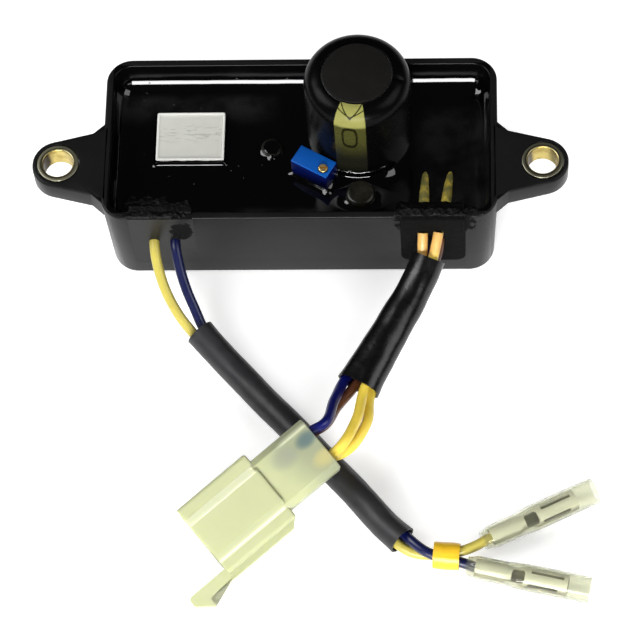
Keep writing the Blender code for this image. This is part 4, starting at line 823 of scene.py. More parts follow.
def ear_outline():
    """The right ear from above: straight sides that narrow from two root fillets to a round tip."""
    root_x, tip_x, tip_radius, slope, fillet = 45.25 * mm, 62.0 * mm, 6.0 * mm, 0.25, 2.2 * mm
    tip_half = tip_radius * math.tan(math.radians(45.0) - math.atan(slope) / 2) * 1.02
    root_half = tip_half + slope * (tip_x - root_x)
    anchor = root_half + fillet * 0.85
    upper = [(root_x - 0.9 * mm, anchor, 0.0), (root_x, anchor, 0.0), (root_x, root_half, fillet),
             (tip_x, tip_half, tip_radius)]
    corners = upper + [(x, -y, radius) for x, y, radius in reversed(upper)]
    return rounded_corners(corners)


def seen_from(outline, centre, count):
    """The outline's points at equal angles round a centre, as distances along each angle."""
    closed = np.concatenate((outline, outline[:1]))
    shares = np.linspace(0.0, 1.0, 24, endpoint=False)
    dense = (closed[:-1, None] + (closed[1:] - closed[:-1])[:, None] * shares[None, :, None]).reshape(-1, 2)
    away = dense - centre
    angles = np.arctan2(away[:, 1], away[:, 0]) % (2 * math.pi)
    order = np.argsort(angles)
    return np.interp(np.linspace(0.0, 2 * math.pi, count, endpoint=False), angles[order],
                     np.linalg.norm(away, axis=1)[order], period=2 * math.pi)


def ear(side):
    """Rings round the screw hole: hole edge, top face, rounded edges, side, underside and hole wall."""
    tub = settings("regulator_tub")
    centre = np.array((HOLE_X, 0.0))
    count = 480
    angles = np.linspace(0.0, 2 * math.pi, count, endpoint=False)
    far = seen_from(ear_outline(), centre, count)
    top, low, hole = tub.height, tub.height - EAR_THICKNESS, 4.95 * mm
    rings = []

    def ring(distance, z):
        x = centre[0] + distance * np.cos(angles)
        y = HOLE_Y + distance * np.sin(angles)
        rings.append(np.column_stack((side * x, y, np.full(count, z))))

    ring(np.full(count, hole), top - 0.15 * mm)
    ring(np.full(count, hole + 0.15 * mm), top)
    for a in np.linspace(0.0, math.pi / 2, 6):
        ring(far - 0.6 * mm * (1 - math.sin(a)), top - 0.6 * mm * (1 - math.cos(a)))
    for a in np.linspace(0.0, math.pi / 2, 4):
        ring(far - 0.35 * mm * (1 - math.cos(a)), low + 0.35 * mm * (1 - math.sin(a)))
    ring(np.full(count, hole), low)
    return surface("ear", np.array(rings), wrap_rows=True)


def slot_tool(x, front=-30.0 * mm, back=-15.0 * mm):
    """The wire slot's outline carried through the front wall."""
    half, low, high, radius = 7.5 * mm, 5.6 * mm, 31.0 * mm, 2.5 * mm
    outline = rounded_corners([(-half, high, 0.0), (-half, low, radius), (half, low, radius), (half, high, 0.0)])
    rings = [np.column_stack((outline[:, 0] + x, np.full(len(outline), y), outline[:, 1])) for y in (front, back)]
    return surface("slot", closed_ends(np.array(rings)))


LEFT_SLOT_X = -31.8 * mm
RIGHT_SLOT_X = 30.7 * mm


def make_housing():
    shell = cut(tub_shell(), [slot_tool(LEFT_SLOT_X), slot_tool(RIGHT_SLOT_X)])
    piece("tub_housing", joined("tub_housing", [shell, ear(1), ear(-1)]), tub_plastic(), ["housing"],
          "tub_plastic", sharp=30.0)


def make_bushings():
    """Turned brass bushings with bevelled bores."""
    metal = turned_brass()
    high, low = 27.15 * mm, 21.35 * mm
    profile = np.concatenate((
        quarter(4.60 * mm, high - 0.15 * mm, 0.15 * mm, 90, 0, 4),
        quarter(4.60 * mm, low + 0.15 * mm, 0.15 * mm, 0, -90, 4),
        [(3.95 * mm, low), (3.45 * mm, low + 0.5 * mm), (3.45 * mm, high - 0.5 * mm)],
        quarter(3.80 * mm, high - 0.5 * mm, 0.35 * mm, 180, 90, 4) + (0.0, 0.15 * mm)))
    profile[-5:, 1] = np.minimum(profile[-5:, 1], high)
    for side, name in ((-1, "left"), (1, "right")):
        grid = turned(profile, 96) + (side * HOLE_X, HOLE_Y, 0.0)
        piece("bushing_collar_" + name, surface(name, grid, wrap_rows=True), metal, ["bushing_" + name], "brass")


SLOTS = {"left": LEFT_SLOT_X, "right": RIGHT_SLOT_X}


def slot_closure(x, high, paths):
    """The slot's outline carried through the wall and leaning with it, with the wires' ways cut."""
    width = settings("regulator_tub").rim_width
    half, low, radius = 7.49 * mm, 5.61 * mm, 2.49 * mm
    outline = rounded_corners([(-half, high, 0.0), (-half, low, radius), (half, low, radius), (half, high, 0.0)])
    z = outline[:, 1]
    rings = [np.column_stack((outline[:, 0] + x, depth - wall_half(width, z), z)) for depth in (0.01 * mm, 1.4 * mm)]
    ways = [surface("way", closed_ends(tube(path, 1.24 * mm, 24))) for path in paths]
    return cut(surface("closure", closed_ends(np.array(rings))), ways)


def draped(x, y, full, mask):
    """A sheet that lies over the wall and the resin: full height where the mask is 1, sunk in them where it is 0."""
    grid_x, grid_y = np.meshgrid(x, y)
    tub = settings("regulator_tub")
    into = np.clip(np.abs(grid_x) - (tub.rim_length / 2 - tub.corner), 0.0, tub.corner - 0.3 * mm)
    front = tub.rim_width / 2 - 0.1 * mm - tub.corner + np.sqrt(tub.corner ** 2 - into ** 2)
    grid_y = np.maximum(grid_y, -front)
    sunk = np.where(grid_y < -20.1 * mm, 26.3 * mm, 18.3 * mm)
    top = np.stack((grid_x, grid_y, sunk + (full(grid_x, grid_y) - sunk) * mask(grid_x, grid_y)), axis=-1)
    foot = np.stack((grid_x, grid_y, sunk - 0.6 * mm), axis=-1)
    rims = [np.concatenate((g[0, :-1], g[:-1, -1], g[-1, :0:-1], g[:0:-1, 0])) for g in (top, foot)]
    sheets = [surface("sheet", g, wrap_columns=False) for g in (top, foot)]
    return welded(joined("drape", sheets + [surface("side", np.array(rims))]))


def ragged_mask(outlines, seed):
    """1 well inside any of the boxes (x, y, half x, half y), 0 outside, over an uneven edge."""
    def mask(x, y):
        flat = np.stack((x, y, np.zeros_like(x)), axis=-1)
        uneven = ripples(flat, 4.2 * mm, seed) * 1.5 * mm + ripples(flat, 1.3 * mm, seed + 1) * 0.5 * mm
        inside = np.max([-box_distance(x, y, box[:2], box[2:]) for box in outlines], axis=0) + uneven
        inside = np.minimum(inside, y + 21.5 * mm)
        share = np.clip(inside / (0.55 * mm), 0.0, 1.0)
        return share * share * (3 - 2 * share)
    return mask


def make_wall_seals():
    """Slot closures, and over each a lump of sealant that is smeared over the rim and onto the resin."""
    paths = wire_paths()
    skins = {"left": tub_plastic(), "right": black_sealant("slot_sealant", 0.90, (0.0010, 0.0010, 0.0010))}
    tops = {"left": 26.6 * mm, "right": 18.85 * mm}
    lows = {"left": ("left_yellow", "left_blue"), "right": ("right_blue", "right_brown")}
    for name, x in SLOTS.items():
        near = [paths[wire][paths[wire][:, 1] > -27.0 * mm] for wire in lows[name]]
        closure = slot_closure(x, tops[name], near)
        piece("slot_closure_" + name, closure, skins[name], ["wall_plug_" + name], "plug_rubber", sharp=30.0)
    dull = black_sealant("dull_sealant", 0.30, (0.0022, 0.0022, 0.0022))
    wet = black_sealant("wet_sealant", 0.34, (0.0010, 0.0010, 0.0010))
    stations_y = np.concatenate((np.linspace(-21.6, -20.15, 14), np.linspace(-20.05, -10.0, 80))) * mm
    for name, finish, x, boxes, knots, lump, front, seed in (
            ("left", dull, np.linspace(-42.6, -21.5, 160), [(-34.0, -17.2, 7.6, 4.6), (-36.0, -14.0, 5.4, 3.4)],
             ([-21.6, -19.6, -17.6, -14.5, -10.0], [27.05, 27.1, 23.2, 19.75, 19.2]), 0.34, -19.9, 14),
            ("right", wet, np.linspace(20.0, 42.6, 170),
             [(30.9, -19.0, 7.9, 3.3), (40.0, -19.7, 2.8, 1.7), (24.5, -19.2, 2.6, 1.9)],
             ([-21.6, -19.4, -16.6, -14.2, -10.0], [27.1, 27.3, 25.6, 19.6, 18.9]), 0.55, -22.05, 29)):
        def full(grid_x, grid_y):
            height = np.interp(grid_y, np.array(knots[0]) * mm, np.array(knots[1]) * mm)
            spots = np.stack((grid_x, grid_y, height), axis=-1)
            return height + lump * mm * (ripples(spots, 4.4 * mm, seed + 2) + 0.45 * ripples(spots, 1.5 * mm, seed + 3)
                                         + 0.2 * ripples(spots, 0.7 * mm, seed + 4))
        sheet = draped(x * mm, stations_y, full, ragged_mask(np.array(boxes) * mm, seed))
        plug = rounded_block((SLOTS[name] - 7.42 * mm, front * mm, 18.87 * mm),
                             (SLOTS[name] + 7.42 * mm, -17.6 * mm, 26.85 * mm), 0.55 * mm, 5)
        mesh = cut(surface("plug", plug), [sheet], "UNION")
        piece("sealant_bead_" + name, mesh, finish, ["sealant_" + name], "sealant", sharp=50.0)


# Resin

def creep(distance, height, reach):
    """Height of liquid that has crept up a wall: it falls by the same share over every equal distance."""
    return height * np.exp(-np.maximum(distance, 0.0) / reach)


def fillet(distance, radius):
    """Height of a concave quarter round at a distance from the wall it climbs."""
    inside = np.clip(radius - distance, 0.0, radius * 0.999)
    return radius - np.sqrt(radius * radius - inside * inside)


def dome(x, y, middle, radius, steepness):
    """Cap of a sphere that meets the level at the given angle, over a foot of the given radius."""
    ball = radius / math.sin(steepness)
    away = np.hypot(x - middle[0], y - middle[1])
    return np.sqrt(np.maximum(ball ** 2 - np.minimum(away, radius) ** 2, 0.0)) - ball * math.cos(steepness)


def box_distance(x, y, middle, half, heading=0.0):
    """Distance from the outside of a rectangle that is turned about its middle."""
    c, s = math.cos(heading), math.sin(heading)
    dx, dy = x - middle[0], y - middle[1]
    along = np.abs(dx * c + dy * s) - half[0]
    across = np.abs(dy * c - dx * s) - half[1]
    outside = np.hypot(np.maximum(along, 0.0), np.maximum(across, 0.0))
    return outside + np.minimum(np.maximum(along, across), 0.0)


TRIMMER = (3.151 * mm, -5.299 * mm)
TRIMMER_HEADING = math.radians(-29.9)
TRIMMER_SEAT = 14.9 * mm
SMALL_CAN = (-7.0 * mm, 1.7 * mm)
FRONT_CAN = (13.9 * mm, -11.2 * mm)
BLOCK = (-26.0 * mm, 3.9 * mm)


def make_resin():
    """Height field over the tub's inside: level, plus a quarter round up the walls and round each part.

    A square grid is drawn in at the corners, where (a, b) goes to max(a, b) times its own direction.
    """
    tub = settings("regulator_tub")
    resin = settings("regulator_resin")
    can = settings("regulator_capacitor")
    half_x = wall_half(tub.rim_length, resin.level, tub.wall - 0.06 * mm)
    half_y = wall_half(tub.rim_width, resin.level, tub.wall - 0.06 * mm)
    radius = tub.corner - tub.wall
    u = np.sin(np.linspace(-1.0, 1.0, 301) * math.pi / 2 * 0.93) / math.sin(math.pi / 2 * 0.93)
    v = np.sin(np.linspace(-1.0, 1.0, 171) * math.pi / 2 * 0.88) / math.sin(math.pi / 2 * 0.88)
    x, y = np.meshgrid(u * half_x, v * half_y)
    a = np.maximum(np.abs(x) - (half_x - radius), 0.0)
    b = np.maximum(np.abs(y) - (half_y - radius), 0.0)
    length = np.hypot(a, b)
    shrink = np.where(length > 0.0, np.maximum(a, b) / np.maximum(length, 1e-12), 1.0)
    corner = (a > 0.0) & (b > 0.0)
    x = np.where(corner, np.sign(x) * (half_x - radius + a * shrink), x)
    y = np.where(corner, np.sign(y) * (half_y - radius + b * shrink), y)
    edge = np.where(corner, radius - np.maximum(a, b), np.minimum(half_x - np.abs(x), half_y - np.abs(y)))
    rise = creep(edge, resin.meniscus * 0.97, 1.55 * mm)
    to_can = np.hypot(x - can.middle[0], y - can.middle[1]) - can.radius
    to_small = np.hypot(x - SMALL_CAN[0], y - SMALL_CAN[1]) - 1.9 * mm
    to_front = np.hypot(x - FRONT_CAN[0], y - FRONT_CAN[1]) - 3.3 * mm
    to_trimmer = box_distance(x, y, TRIMMER, (4.77 * mm, 2.42 * mm), TRIMMER_HEADING)
    to_block = box_distance(x, y, BLOCK, (8.0 * mm, 6.45 * mm))
    ahead = np.clip(((can.middle[1] - y) / np.maximum(to_can + can.radius, can.radius / 2) - 0.70) / 0.22, 0.0, 1.0)
    rise = np.maximum(rise, creep(to_can, 0.5 * mm + 2.2 * mm * ahead * ahead * (3 - 2 * ahead), 1.4 * mm))
    rise = np.maximum(rise, creep(to_front, 0.6 * mm, 1.6 * mm))
    rise = np.maximum(rise, creep(to_trimmer, 0.62 * mm, 0.6 * mm))
    rise = np.maximum(rise, creep(to_block, 1.0 * mm, 0.35 * mm))
    blister = creep(np.maximum(to_small, 0.0), 0.75 * mm, 0.55 * mm)
    drop = dome(x, y, (SMALL_CAN[0] + 0.1 * mm, SMALL_CAN[1] - 2.5 * mm), 0.95 * mm, math.radians(66.0))
    rise = np.maximum(rise, np.maximum(blister, drop))
    rise = np.maximum(rise, dome(x, y, (6.3 * mm, -10.2 * mm), 1.0 * mm, math.radians(62.0)))
    z = resin.level + rise
    points = np.stack((x, y, z), axis=-1)
    z = z + 0.05 * mm * ripples(points, 19.0 * mm, 3) + 0.012 * mm * ripples(points, 4.5 * mm, 5)
    top = np.stack((x, y, z), axis=-1)
    rim = np.concatenate((top[0, :-1], top[:-1, -1], top[-1, :0:-1], top[:0:-1, 0]))
    skirt_x, skirt_y = wall_half(tub.rim_length, 2.4 * mm, tub.wall + 0.1 * mm) / half_x, 1.0
    skirt_y = wall_half(tub.rim_width, 2.4 * mm, tub.wall + 0.1 * mm) / half_y
    foot = np.column_stack((rim[:, 0] * skirt_x, rim[:, 1] * skirt_y, np.full(len(rim), 2.4 * mm)))
    middle = np.broadcast_to((0.0, 0.0, 2.4 * mm), foot.shape)
    side = surface("side", np.array((rim, foot, middle)))
    cover = surface("cover", top, wrap_columns=False)
    mesh = welded(joined("resin", [cover, side]))
    piece("resin_surface", mesh, glossy_resin(), ["potting_resin"], "resin", sharp=50.0)


# Parts on the board

def make_board_parts():
    dress(board_laminate(), "circuit_board")
    dress(moulded_epoxy(), "bridge_diode_1", "bridge_diode_2", "bridge_diode_3", "bridge_diode_4",
          "flyback_diode", "power_transistor")
    dress(film_coat(), "divider_resistor_1", "divider_resistor_2", "gate_resistor", "zener_diode")


def make_capacitor():
    """Turned film with a rounded shoulder and gathered folds round the end disc; the disc lies in it."""
    can = settings("regulator_capacitor")
    r, top, corner = can.radius, can.top, can.shoulder
    seat = can.middle[2]
    profile = np.concatenate((
        [(r - corner, top - 0.3 * mm), (r - corner, top - 0.06 * mm), (r - corner + 0.08 * mm, top)],
        quarter(r - corner, top - corner, corner, 88, 0, 22),
        np.column_stack((np.full(24, r), np.linspace(top - corner - 0.4 * mm, seat, 24))),
        [(r - 0.3 * mm, seat), (r - 0.3 * mm, top - corner)],
        quarter(r - corner, top - corner, corner - 0.3 * mm, 8, 80, 8)))
    grid = turned(profile, 192)
    angles = np.linspace(0.0, 2 * math.pi, 192, endpoint=False)
    reach = np.hypot(grid[..., 0], grid[..., 1])
    on_fold = np.clip((r - 0.6 * mm - reach) / (2.2 * mm), 0.0, 1.0)
    on_fold = on_fold * np.clip((grid[..., 2] - (top - 2.2 * mm)) / (1.2 * mm), 0.0, 1.0)
    folds = sum(np.sin(angles * k + k * k) / (1 + 0.12 * k) for k in (5, 9, 14, 23)) / 3.0
    crease = np.exp(-((angles - math.radians(352.0)) / math.radians(2.2)) ** 2)
    grid[..., 2] += on_fold * (0.06 * mm * folds - 0.35 * mm * crease)
    barrel = np.clip((top - corner - grid[..., 2]) / (4.0 * mm), 0.0, 1.0)
    swell = 0.05 * mm * ripples(grid, 17.0 * mm, 2) * barrel
    grid[..., 0] += swell * np.cos(angles) - 0.05 * mm * barrel * np.cos(angles)
    grid[..., 1] += swell * np.sin(angles) - 0.05 * mm * barrel * np.sin(angles)
    mesh = surface("film", grid + (can.middle[0], can.middle[1], 0.0), wrap_rows=True)
    piece("film_sleeve", mesh, shrunk_film(), ["capacitor_sleeve"], "film_black", sharp=60.0)
    low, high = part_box("capacitor_end_disc")
    radius = (high.x - low.x) / 2
    disc = np.concatenate((
        quarter(radius - 0.15 * mm, high.z - 0.15 * mm, 0.15 * mm, 90, 0, 5), [(radius, low.z)]))
    grid = turned(disc, 128)
    grid[..., 2] += 0.03 * mm * (ripples(grid, 6.0 * mm, 8) - 1.2) * (grid[..., 2] > low.z + 0.1 * mm)
    grid = closed_ends(grid) + (can.middle[0], can.middle[1], 0.0)
    piece("end_disc", surface("disc", grid), end_disc_vinyl(), ["capacitor_end_disc"], "disc_black")
    dress(plated("bare_can", (0.75, 0.75, 0.76), (0.5, 0.5, 0.52), 0.25), "capacitor_can")


def make_block():
    """Ceramic trough as rings up its outside, over its thin rim and down to the cement."""
    low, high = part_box("resistor_case")
    half = ((high.x - low.x) / 2, (high.y - low.y) / 2)
    middle = np.array(((high.x + low.x) / 2, (high.y + low.y) / 2, 0.0))
    wall, edge = 0.62 * mm, 0.16 * mm
    rows = [(edge, low.z), (0.0, low.z + edge)]
    rows += [(edge * (1 - math.cos(a)), high.z - edge * (1 - math.sin(a))) for a in np.linspace(0, math.pi / 2, 5)]
    rows += [(wall - edge * (1 - math.sin(a)), high.z - edge * (1 - math.cos(a)))
             for a in np.linspace(0, math.pi / 2, 4)]
    rows += [(wall, low.z + 1.0 * mm)]
    rings = [at_height(rounded_rectangle(half[0] - d, half[1] - d, max(0.45 * mm - d * 0.4, 0.12 * mm), 4), z)
             for d, z in rows]
    grid = closed_ends(np.array(rings) + middle)
    piece("ceramic_trough", surface("trough", grid), white_ceramic(), ["resistor_case"], "ceramic")
    top = high.z - 0.13 * mm
    inner = (half[0] - wall - 0.01 * mm, half[1] - wall - 0.01 * mm)
    x, y = np.meshgrid(np.linspace(-inner[0], inner[0], 60), np.linspace(-inner[1], inner[1], 50))
    edge_gap = np.minimum(inner[0] - np.abs(x), inner[1] - np.abs(y))
    z = top + 0.10 * mm * fillet(edge_gap, 0.8 * mm) / (0.8 * mm)
    cover = np.stack((x, y, z + 0.02 * mm * ripples(np.stack((x, y, z), -1), 3.5 * mm, 6)), axis=-1) + middle
    rim = np.concatenate((cover[0, :-1], cover[:-1, -1], cover[-1, :0:-1], cover[:0:-1, 0]))
    foot = rim.copy()
    foot[:, 2] = low.z + 1.2 * mm
    side = surface("side", np.array((rim, foot, np.broadcast_to(foot.mean(axis=0), foot.shape))))
    mesh = welded(joined("cement", [surface("cover", cover, wrap_columns=False), side]))
    piece("cement_fill", mesh, grey_cement(), ["resistor_cement"], "cement")


def make_trimmer():
    """Blue case with a round recess, and the slotted brass screw that turns in it."""
    place = Matrix.Translation((*TRIMMER, TRIMMER_SEAT)) @ Matrix.Rotation(TRIMMER_HEADING, 4, "Z")
    half = (4.765 * mm, 2.415 * mm)
    case = rounded_block((-half[0], -half[1], 0.0), (half[0], half[1], 10.0 * mm), 0.18 * mm, 3)
    spot = np.array((2.9 * mm, -0.6 * mm, 0.0))
    recess = turned([(1.22 * mm, 13.0 * mm), (1.22 * mm, 8.3 * mm)], 40) + spot
    mesh = cut(surface("case", case), [surface("recess", closed_ends(recess))])
    mesh.transform(place)
    piece("trimmer_case", mesh, trimmer_blue(), ["trimmer_body"], "trimmer_blue", sharp=40.0)
    head = np.concatenate((
        [(0.55 * mm, 10.5 * mm)], quarter(0.85 * mm, 10.25 * mm, 0.25 * mm, 90, 0, 5), [(1.1 * mm, 8.7 * mm)]))
    screw = surface("screw", closed_ends(turned(head, 40) + spot))
    slot = rounded_block((-2.0 * mm, -0.25 * mm, 9.9 * mm), (2.0 * mm, 0.25 * mm, 11.5 * mm), 0.05 * mm, 2)
    turn = Matrix.Rotation(math.radians(28.0), 4, "Z")
    slot = moved(slot, turn) + spot
    mesh = cut(screw, [surface("slot", slot)])
    mesh.transform(place)
    brass = plated("screw_brass", (0.83, 0.62, 0.28), (0.55, 0.38, 0.14), 0.22, 2000.0)
    piece("adjusting_screw", mesh, brass, ["trimmer_screw"], "brass", TURNING_BODY)


def make_small_cans():
    """Front can: a turned body with a rounded top edge, under a skin of resin."""
    low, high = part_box("small_capacitor_front")
    r = (high.x - low.x) / 2
    profile = np.concatenate((
        [(0.5 * r, high.z - 0.02 * mm)],
        quarter(r - 1.0 * mm, high.z - 1.0 * mm, 1.0 * mm, 88, 0, 10), [(r, low.z)]))
    grid = turned(profile, 72)
    grid[..., 2] += 0.10 * mm * ripples(grid, 4.0 * mm, 12) * (grid[..., 2] > high.z - 1.2 * mm) - 0.1 * mm
    grid = closed_ends(grid) + (FRONT_CAN[0], FRONT_CAN[1], 0.0)
    coat = brown_coat()
    piece("front_can", surface("can", grid), coat, ["small_capacitor_front"], "film_black", sharp=50.0)
    dress(coat, "small_capacitor_left")


# Routes of the wires, in millimetres, as they lie in the solids

LEFT_RUN = [(-23.5, -40.0, 6.2), (-18.6, -45.3, 5.0), (-12.6, -51.9, 4.1), (0.2, -65.7, 3.8),
            (13.0, -79.9, 3.8), (23.7, -91.6, 3.8)]
LEFT_TAPE_RUN = [(25.9, -93.3, 3.8), (28.3, -94.5, 3.8), (30.9, -95.1, 3.8), (33.6, -95.4, 3.8),
                 (36.8, -95.6, 3.8)]
LEFT_YELLOW_START = [(-34.0, -8.5, 15.7), (-34.0, -14.0, 15.7), (-34.0, -19.6, 15.8), (-33.9, -22.4, 15.4),
                     (-33.2, -26.2, 13.2), (-31.4, -31.2, 10.4), (-28.3, -36.4, 7.9)]
LEFT_BLUE_START = [(-29.2, -8.5, 15.7), (-29.2, -14.0, 15.7), (-29.2, -19.6, 15.8), (-29.0, -22.4, 15.5),
                   (-28.2, -26.2, 13.5), (-26.6, -31.0, 10.8), (-24.5, -35.4, 8.5)]
LEFT_YELLOW_TURN = [(39.8, -93.1, 3.7)]
RIGHT_RUN = [(29.7, -25.6, 15.6), (28.0, -29.2, 13.7), (25.4, -34.2, 12.2), (22.0, -40.2, 11.1),
             (17.8, -48.0, 10.3), (13.5, -55.9, 9.9)]
RIGHT_YELLOW_A_START = [(30.6, -2.0, 15.7), (30.4, -4.2, 17.2), (30.1, -7.2, 19.5), (29.5, -11.0, 21.4),
                        (28.9, -15.5, 22.3), (28.5, -19.3, 21.9), (28.4, -21.8, 20.6), (28.3, -23.8, 18.8)]
RIGHT_YELLOW_B_START = [(34.9, -2.0, 15.7), (34.7, -4.2, 17.2), (34.3, -7.2, 19.5), (33.7, -11.0, 21.4),
                        (33.0, -15.5, 22.3), (32.3, -19.3, 21.9), (32.0, -21.8, 20.7), (31.4, -24.3, 18.8)]
YELLOW_STUBS = {
    "right_yellow_a": [(29.6, -1.5, 16.0), (28.95, -5.0, 17.85), (28.75, -9.0, 18.35), (28.6, -13.3, 19.1),
                       (28.45, -17.5, 20.2), (28.35, -21.9, 20.6)],
    "right_yellow_b": [(35.5, -1.5, 16.0), (34.75, -5.0, 17.85), (34.2, -9.0, 18.35), (33.7, -13.3, 19.1),
                       (32.8, -17.5, 20.3), (31.95, -21.9, 20.7)],
}
RIGHT_BLUE_START = [(28.5, -8.5, 15.7), (28.5, -14.0, 15.7), (28.5, -19.4, 16.1), (28.5, -21.6, 15.9),
                    (28.6, -23.0, 15.3)]
RIGHT_BROWN_START = [(32.2, -8.5, 15.7), (32.2, -14.0, 15.7), (32.2, -19.4, 16.1), (32.1, -21.8, 15.9),
                     (31.8, -23.7, 15.2)]
SOCKETS = {"upper": ((43.6, -90.8, 3.6), math.radians(26.1)), "lower": ((40.1, -98.1, 3.6), math.radians(-12.4))}
WIRE_IN_CRIMP = 5.8 * mm
LANE = 1.35 * mm
STATION = 5.0 * mm
CONNECTOR = (5.5 * mm, -73.0 * mm, 14.85 * mm)
CONNECTOR_TURN = (math.radians(-17.4), math.radians(10.3), math.radians(219.2))
FANS = {
    "right_blue": ((1.35, -1.35), (3.3, 0.3), (8.3, -61.6, 13.9), (-3.0, 2.2), (-3.6, 2.3)),
    "right_yellow_a": ((1.35, 1.35), (-2.0, 1.3), (13.3, -66.8, 14.2), (3.4, 2.2), (3.6, 2.3)),
    "right_yellow_b": ((-1.35, 1.35), (-3.35, -0.7), (15.6, -66.1, 11.3), (4.5, -2.2), (3.6, -2.3)),
    "right_brown": ((-1.35, -1.35), (0.9, -1.0), (9.0, -61.4, 10.8), (-3.0, -2.1), (-3.6, -2.3)),
}


def metres(points):
    return np.array(points, float) * mm


def smooth_route(route, spacing):
    """Points of a smooth curve through the route, and where the route's own points are in it.

    Each stretch is a cubic whose end slopes are the neighbouring chord slopes, weighted by chord length.
    """
    route = np.asarray(route, float)
    chords = np.diff(route, axis=0)
    lengths = np.linalg.norm(chords, axis=1)
    ways = chords / lengths[:, None]
    weights = lengths[:-1] + lengths[1:]
    inner = (ways[:-1] * lengths[1:, None] + ways[1:] * lengths[:-1, None]) / weights[:, None]
    slopes = np.concatenate((ways[:1], inner, ways[-1:]))
    out, marks = [route[:1]], [0]
    for i, length in enumerate(lengths):
        t = np.linspace(0.0, 1.0, max(1, round(length / spacing)) + 1)[1:, None]
        start = (1 + 2 * t) * (1 - t) ** 2 * route[i] + t * (1 - t) ** 2 * length * slopes[i]
        end = t * t * (3 - 2 * t) * route[i + 1] - t * t * (1 - t) * length * slopes[i + 1]
        out.append(start + end)
        marks.append(marks[-1] + len(t))
    return np.concatenate(out), marks


def lane_points(stations, offsets):
    """Points beside the stations: one offset to the right of travel, the other upwards."""
    ahead = np.empty_like(stations)
    ahead[1:-1] = stations[2:] - stations[:-2]
    ahead[0] = stations[1] - stations[0]
    ahead[-1] = stations[-1] - stations[-2]
    side = np.cross(ahead, (0.0, 0.0, 1.0))
    side /= np.linalg.norm(side, axis=1, keepdims=True)
    up = np.cross(side, ahead)
    up /= np.linalg.norm(up, axis=1, keepdims=True)
    return stations + offsets[:, :1] * side + offsets[:, 1:] * up


def round_lane(angles):
    """Offsets of a wire that winds round its pair's middle."""
    return LANE * np.column_stack((np.cos(angles), np.sin(angles)))


def in_connector(x, y, z):
    turn = Euler(CONNECTOR_TURN).to_matrix()
    return np.array(Vector(CONNECTOR) + turn @ Vector((x, y, z)))[None]


def along_socket(side, along):
    spot, heading = SOCKETS[side]
    return (metres(spot) + along * np.array((math.cos(heading), math.sin(heading), 0.0)))[None]


def left_bundle():
    """Middle of the left pair at its stations, and the station where the black tube ends."""
    stations, marks = smooth_route(metres(LEFT_RUN + LEFT_TAPE_RUN), STATION)
    return stations, marks[len(LEFT_RUN) - 1]


def wire_paths():
    """Every wire's fine path: its start, its lane beside the bundle's middle, and its way into its end."""
    stations, tube_end = left_bundle()
    share = np.clip(np.arange(len(stations)) - tube_end, 0, None) / (len(stations) - 1 - tube_end)
    blue = np.radians(150.0) * (1.0 - share)
    paths = {
        "left_yellow": [metres(LEFT_YELLOW_START), lane_points(stations, round_lane(blue - math.pi)),
                        metres(LEFT_YELLOW_TURN), along_socket("upper", 0.0),
                        along_socket("upper", WIRE_IN_CRIMP)],
        "left_blue": [metres(LEFT_BLUE_START), lane_points(stations, round_lane(blue)),
                      along_socket("lower", 0.0), along_socket("lower", WIRE_IN_CRIMP)],
    }
    stations = smooth_route(metres(RIGHT_RUN), STATION)[0]
    share = np.linspace(0.0, 1.0, len(stations))[:, None]
    for name, start in (("right_blue", RIGHT_BLUE_START), ("right_yellow_a", RIGHT_YELLOW_A_START),
                        ("right_yellow_b", RIGHT_YELLOW_B_START), ("right_brown", RIGHT_BROWN_START)):
        first, mouth, loose, near, cell = (metres(spot) for spot in FANS[name])
        paths[name] = [metres(start), lane_points(stations, first + (mouth - first) * share),
                       loose[None], in_connector(-2.6 * mm, *near), in_connector(0.0, *cell),
                       in_connector(4.6 * mm, *cell)]
    return {name: smooth_route(np.concatenate(parts), 1.1 * mm)[0] for name, parts in paths.items()}


def split_at(path, y):
    """The path in two where it first passes a plane of that y."""
    i = int(np.argmax(path[:, 1] < y))
    share = (y - path[i - 1, 1]) / (path[i, 1] - path[i - 1, 1])
    spot = path[i - 1] + share * (path[i] - path[i - 1])
    return np.concatenate((path[:i], spot[None])), np.concatenate((spot[None], path[i:]))


def make_wires():
    """Six cords from where they leave the tub, and the stubs that run in the resin and its sealant."""
    wires = settings("regulator_wires")
    skins = {
        "yellow": wire_skin("yellow_skin", wires.yellow[:], aged=True),
        "left_yellow": wire_skin("left_yellow_skin", (0.50, 0.42, 0.080)),
        "blue": wire_skin("blue_skin", wires.blue[:]),
        "left_blue": wire_skin("left_blue_skin", (0.0015, 0.004, 0.045)),
        "brown": wire_skin("brown_skin", wires.brown[:]),
        "coated": wire_skin("coated_yellow_skin", wires.yellow[:], 0.75),
    }
    for name, path in wire_paths().items():
        colour = next(c for c in ("yellow", "blue", "brown") if c in name)
        skin = skins[name] if name in skins else skins[colour]
        high = "yellow" in name and "right" in name
        inner, outer = split_at(path, -21.9 * mm if high else -20.9 * mm)
        if high:
            inner = smooth_route(metres(YELLOW_STUBS[name]), 1.1 * mm)[0]
        stub = surface("stub", closed_ends(tube(inner, wires.diameter / 2)))
        piece("stub_" + name, stub, skins["coated"] if high else skin, slot="wire_" + colour)
        mesh = surface("wire", closed_ends(tube(outer, wires.diameter / 2)))
        cord = piece("cord_" + name, mesh, skin, ["wire_" + name], "wire_" + colour)


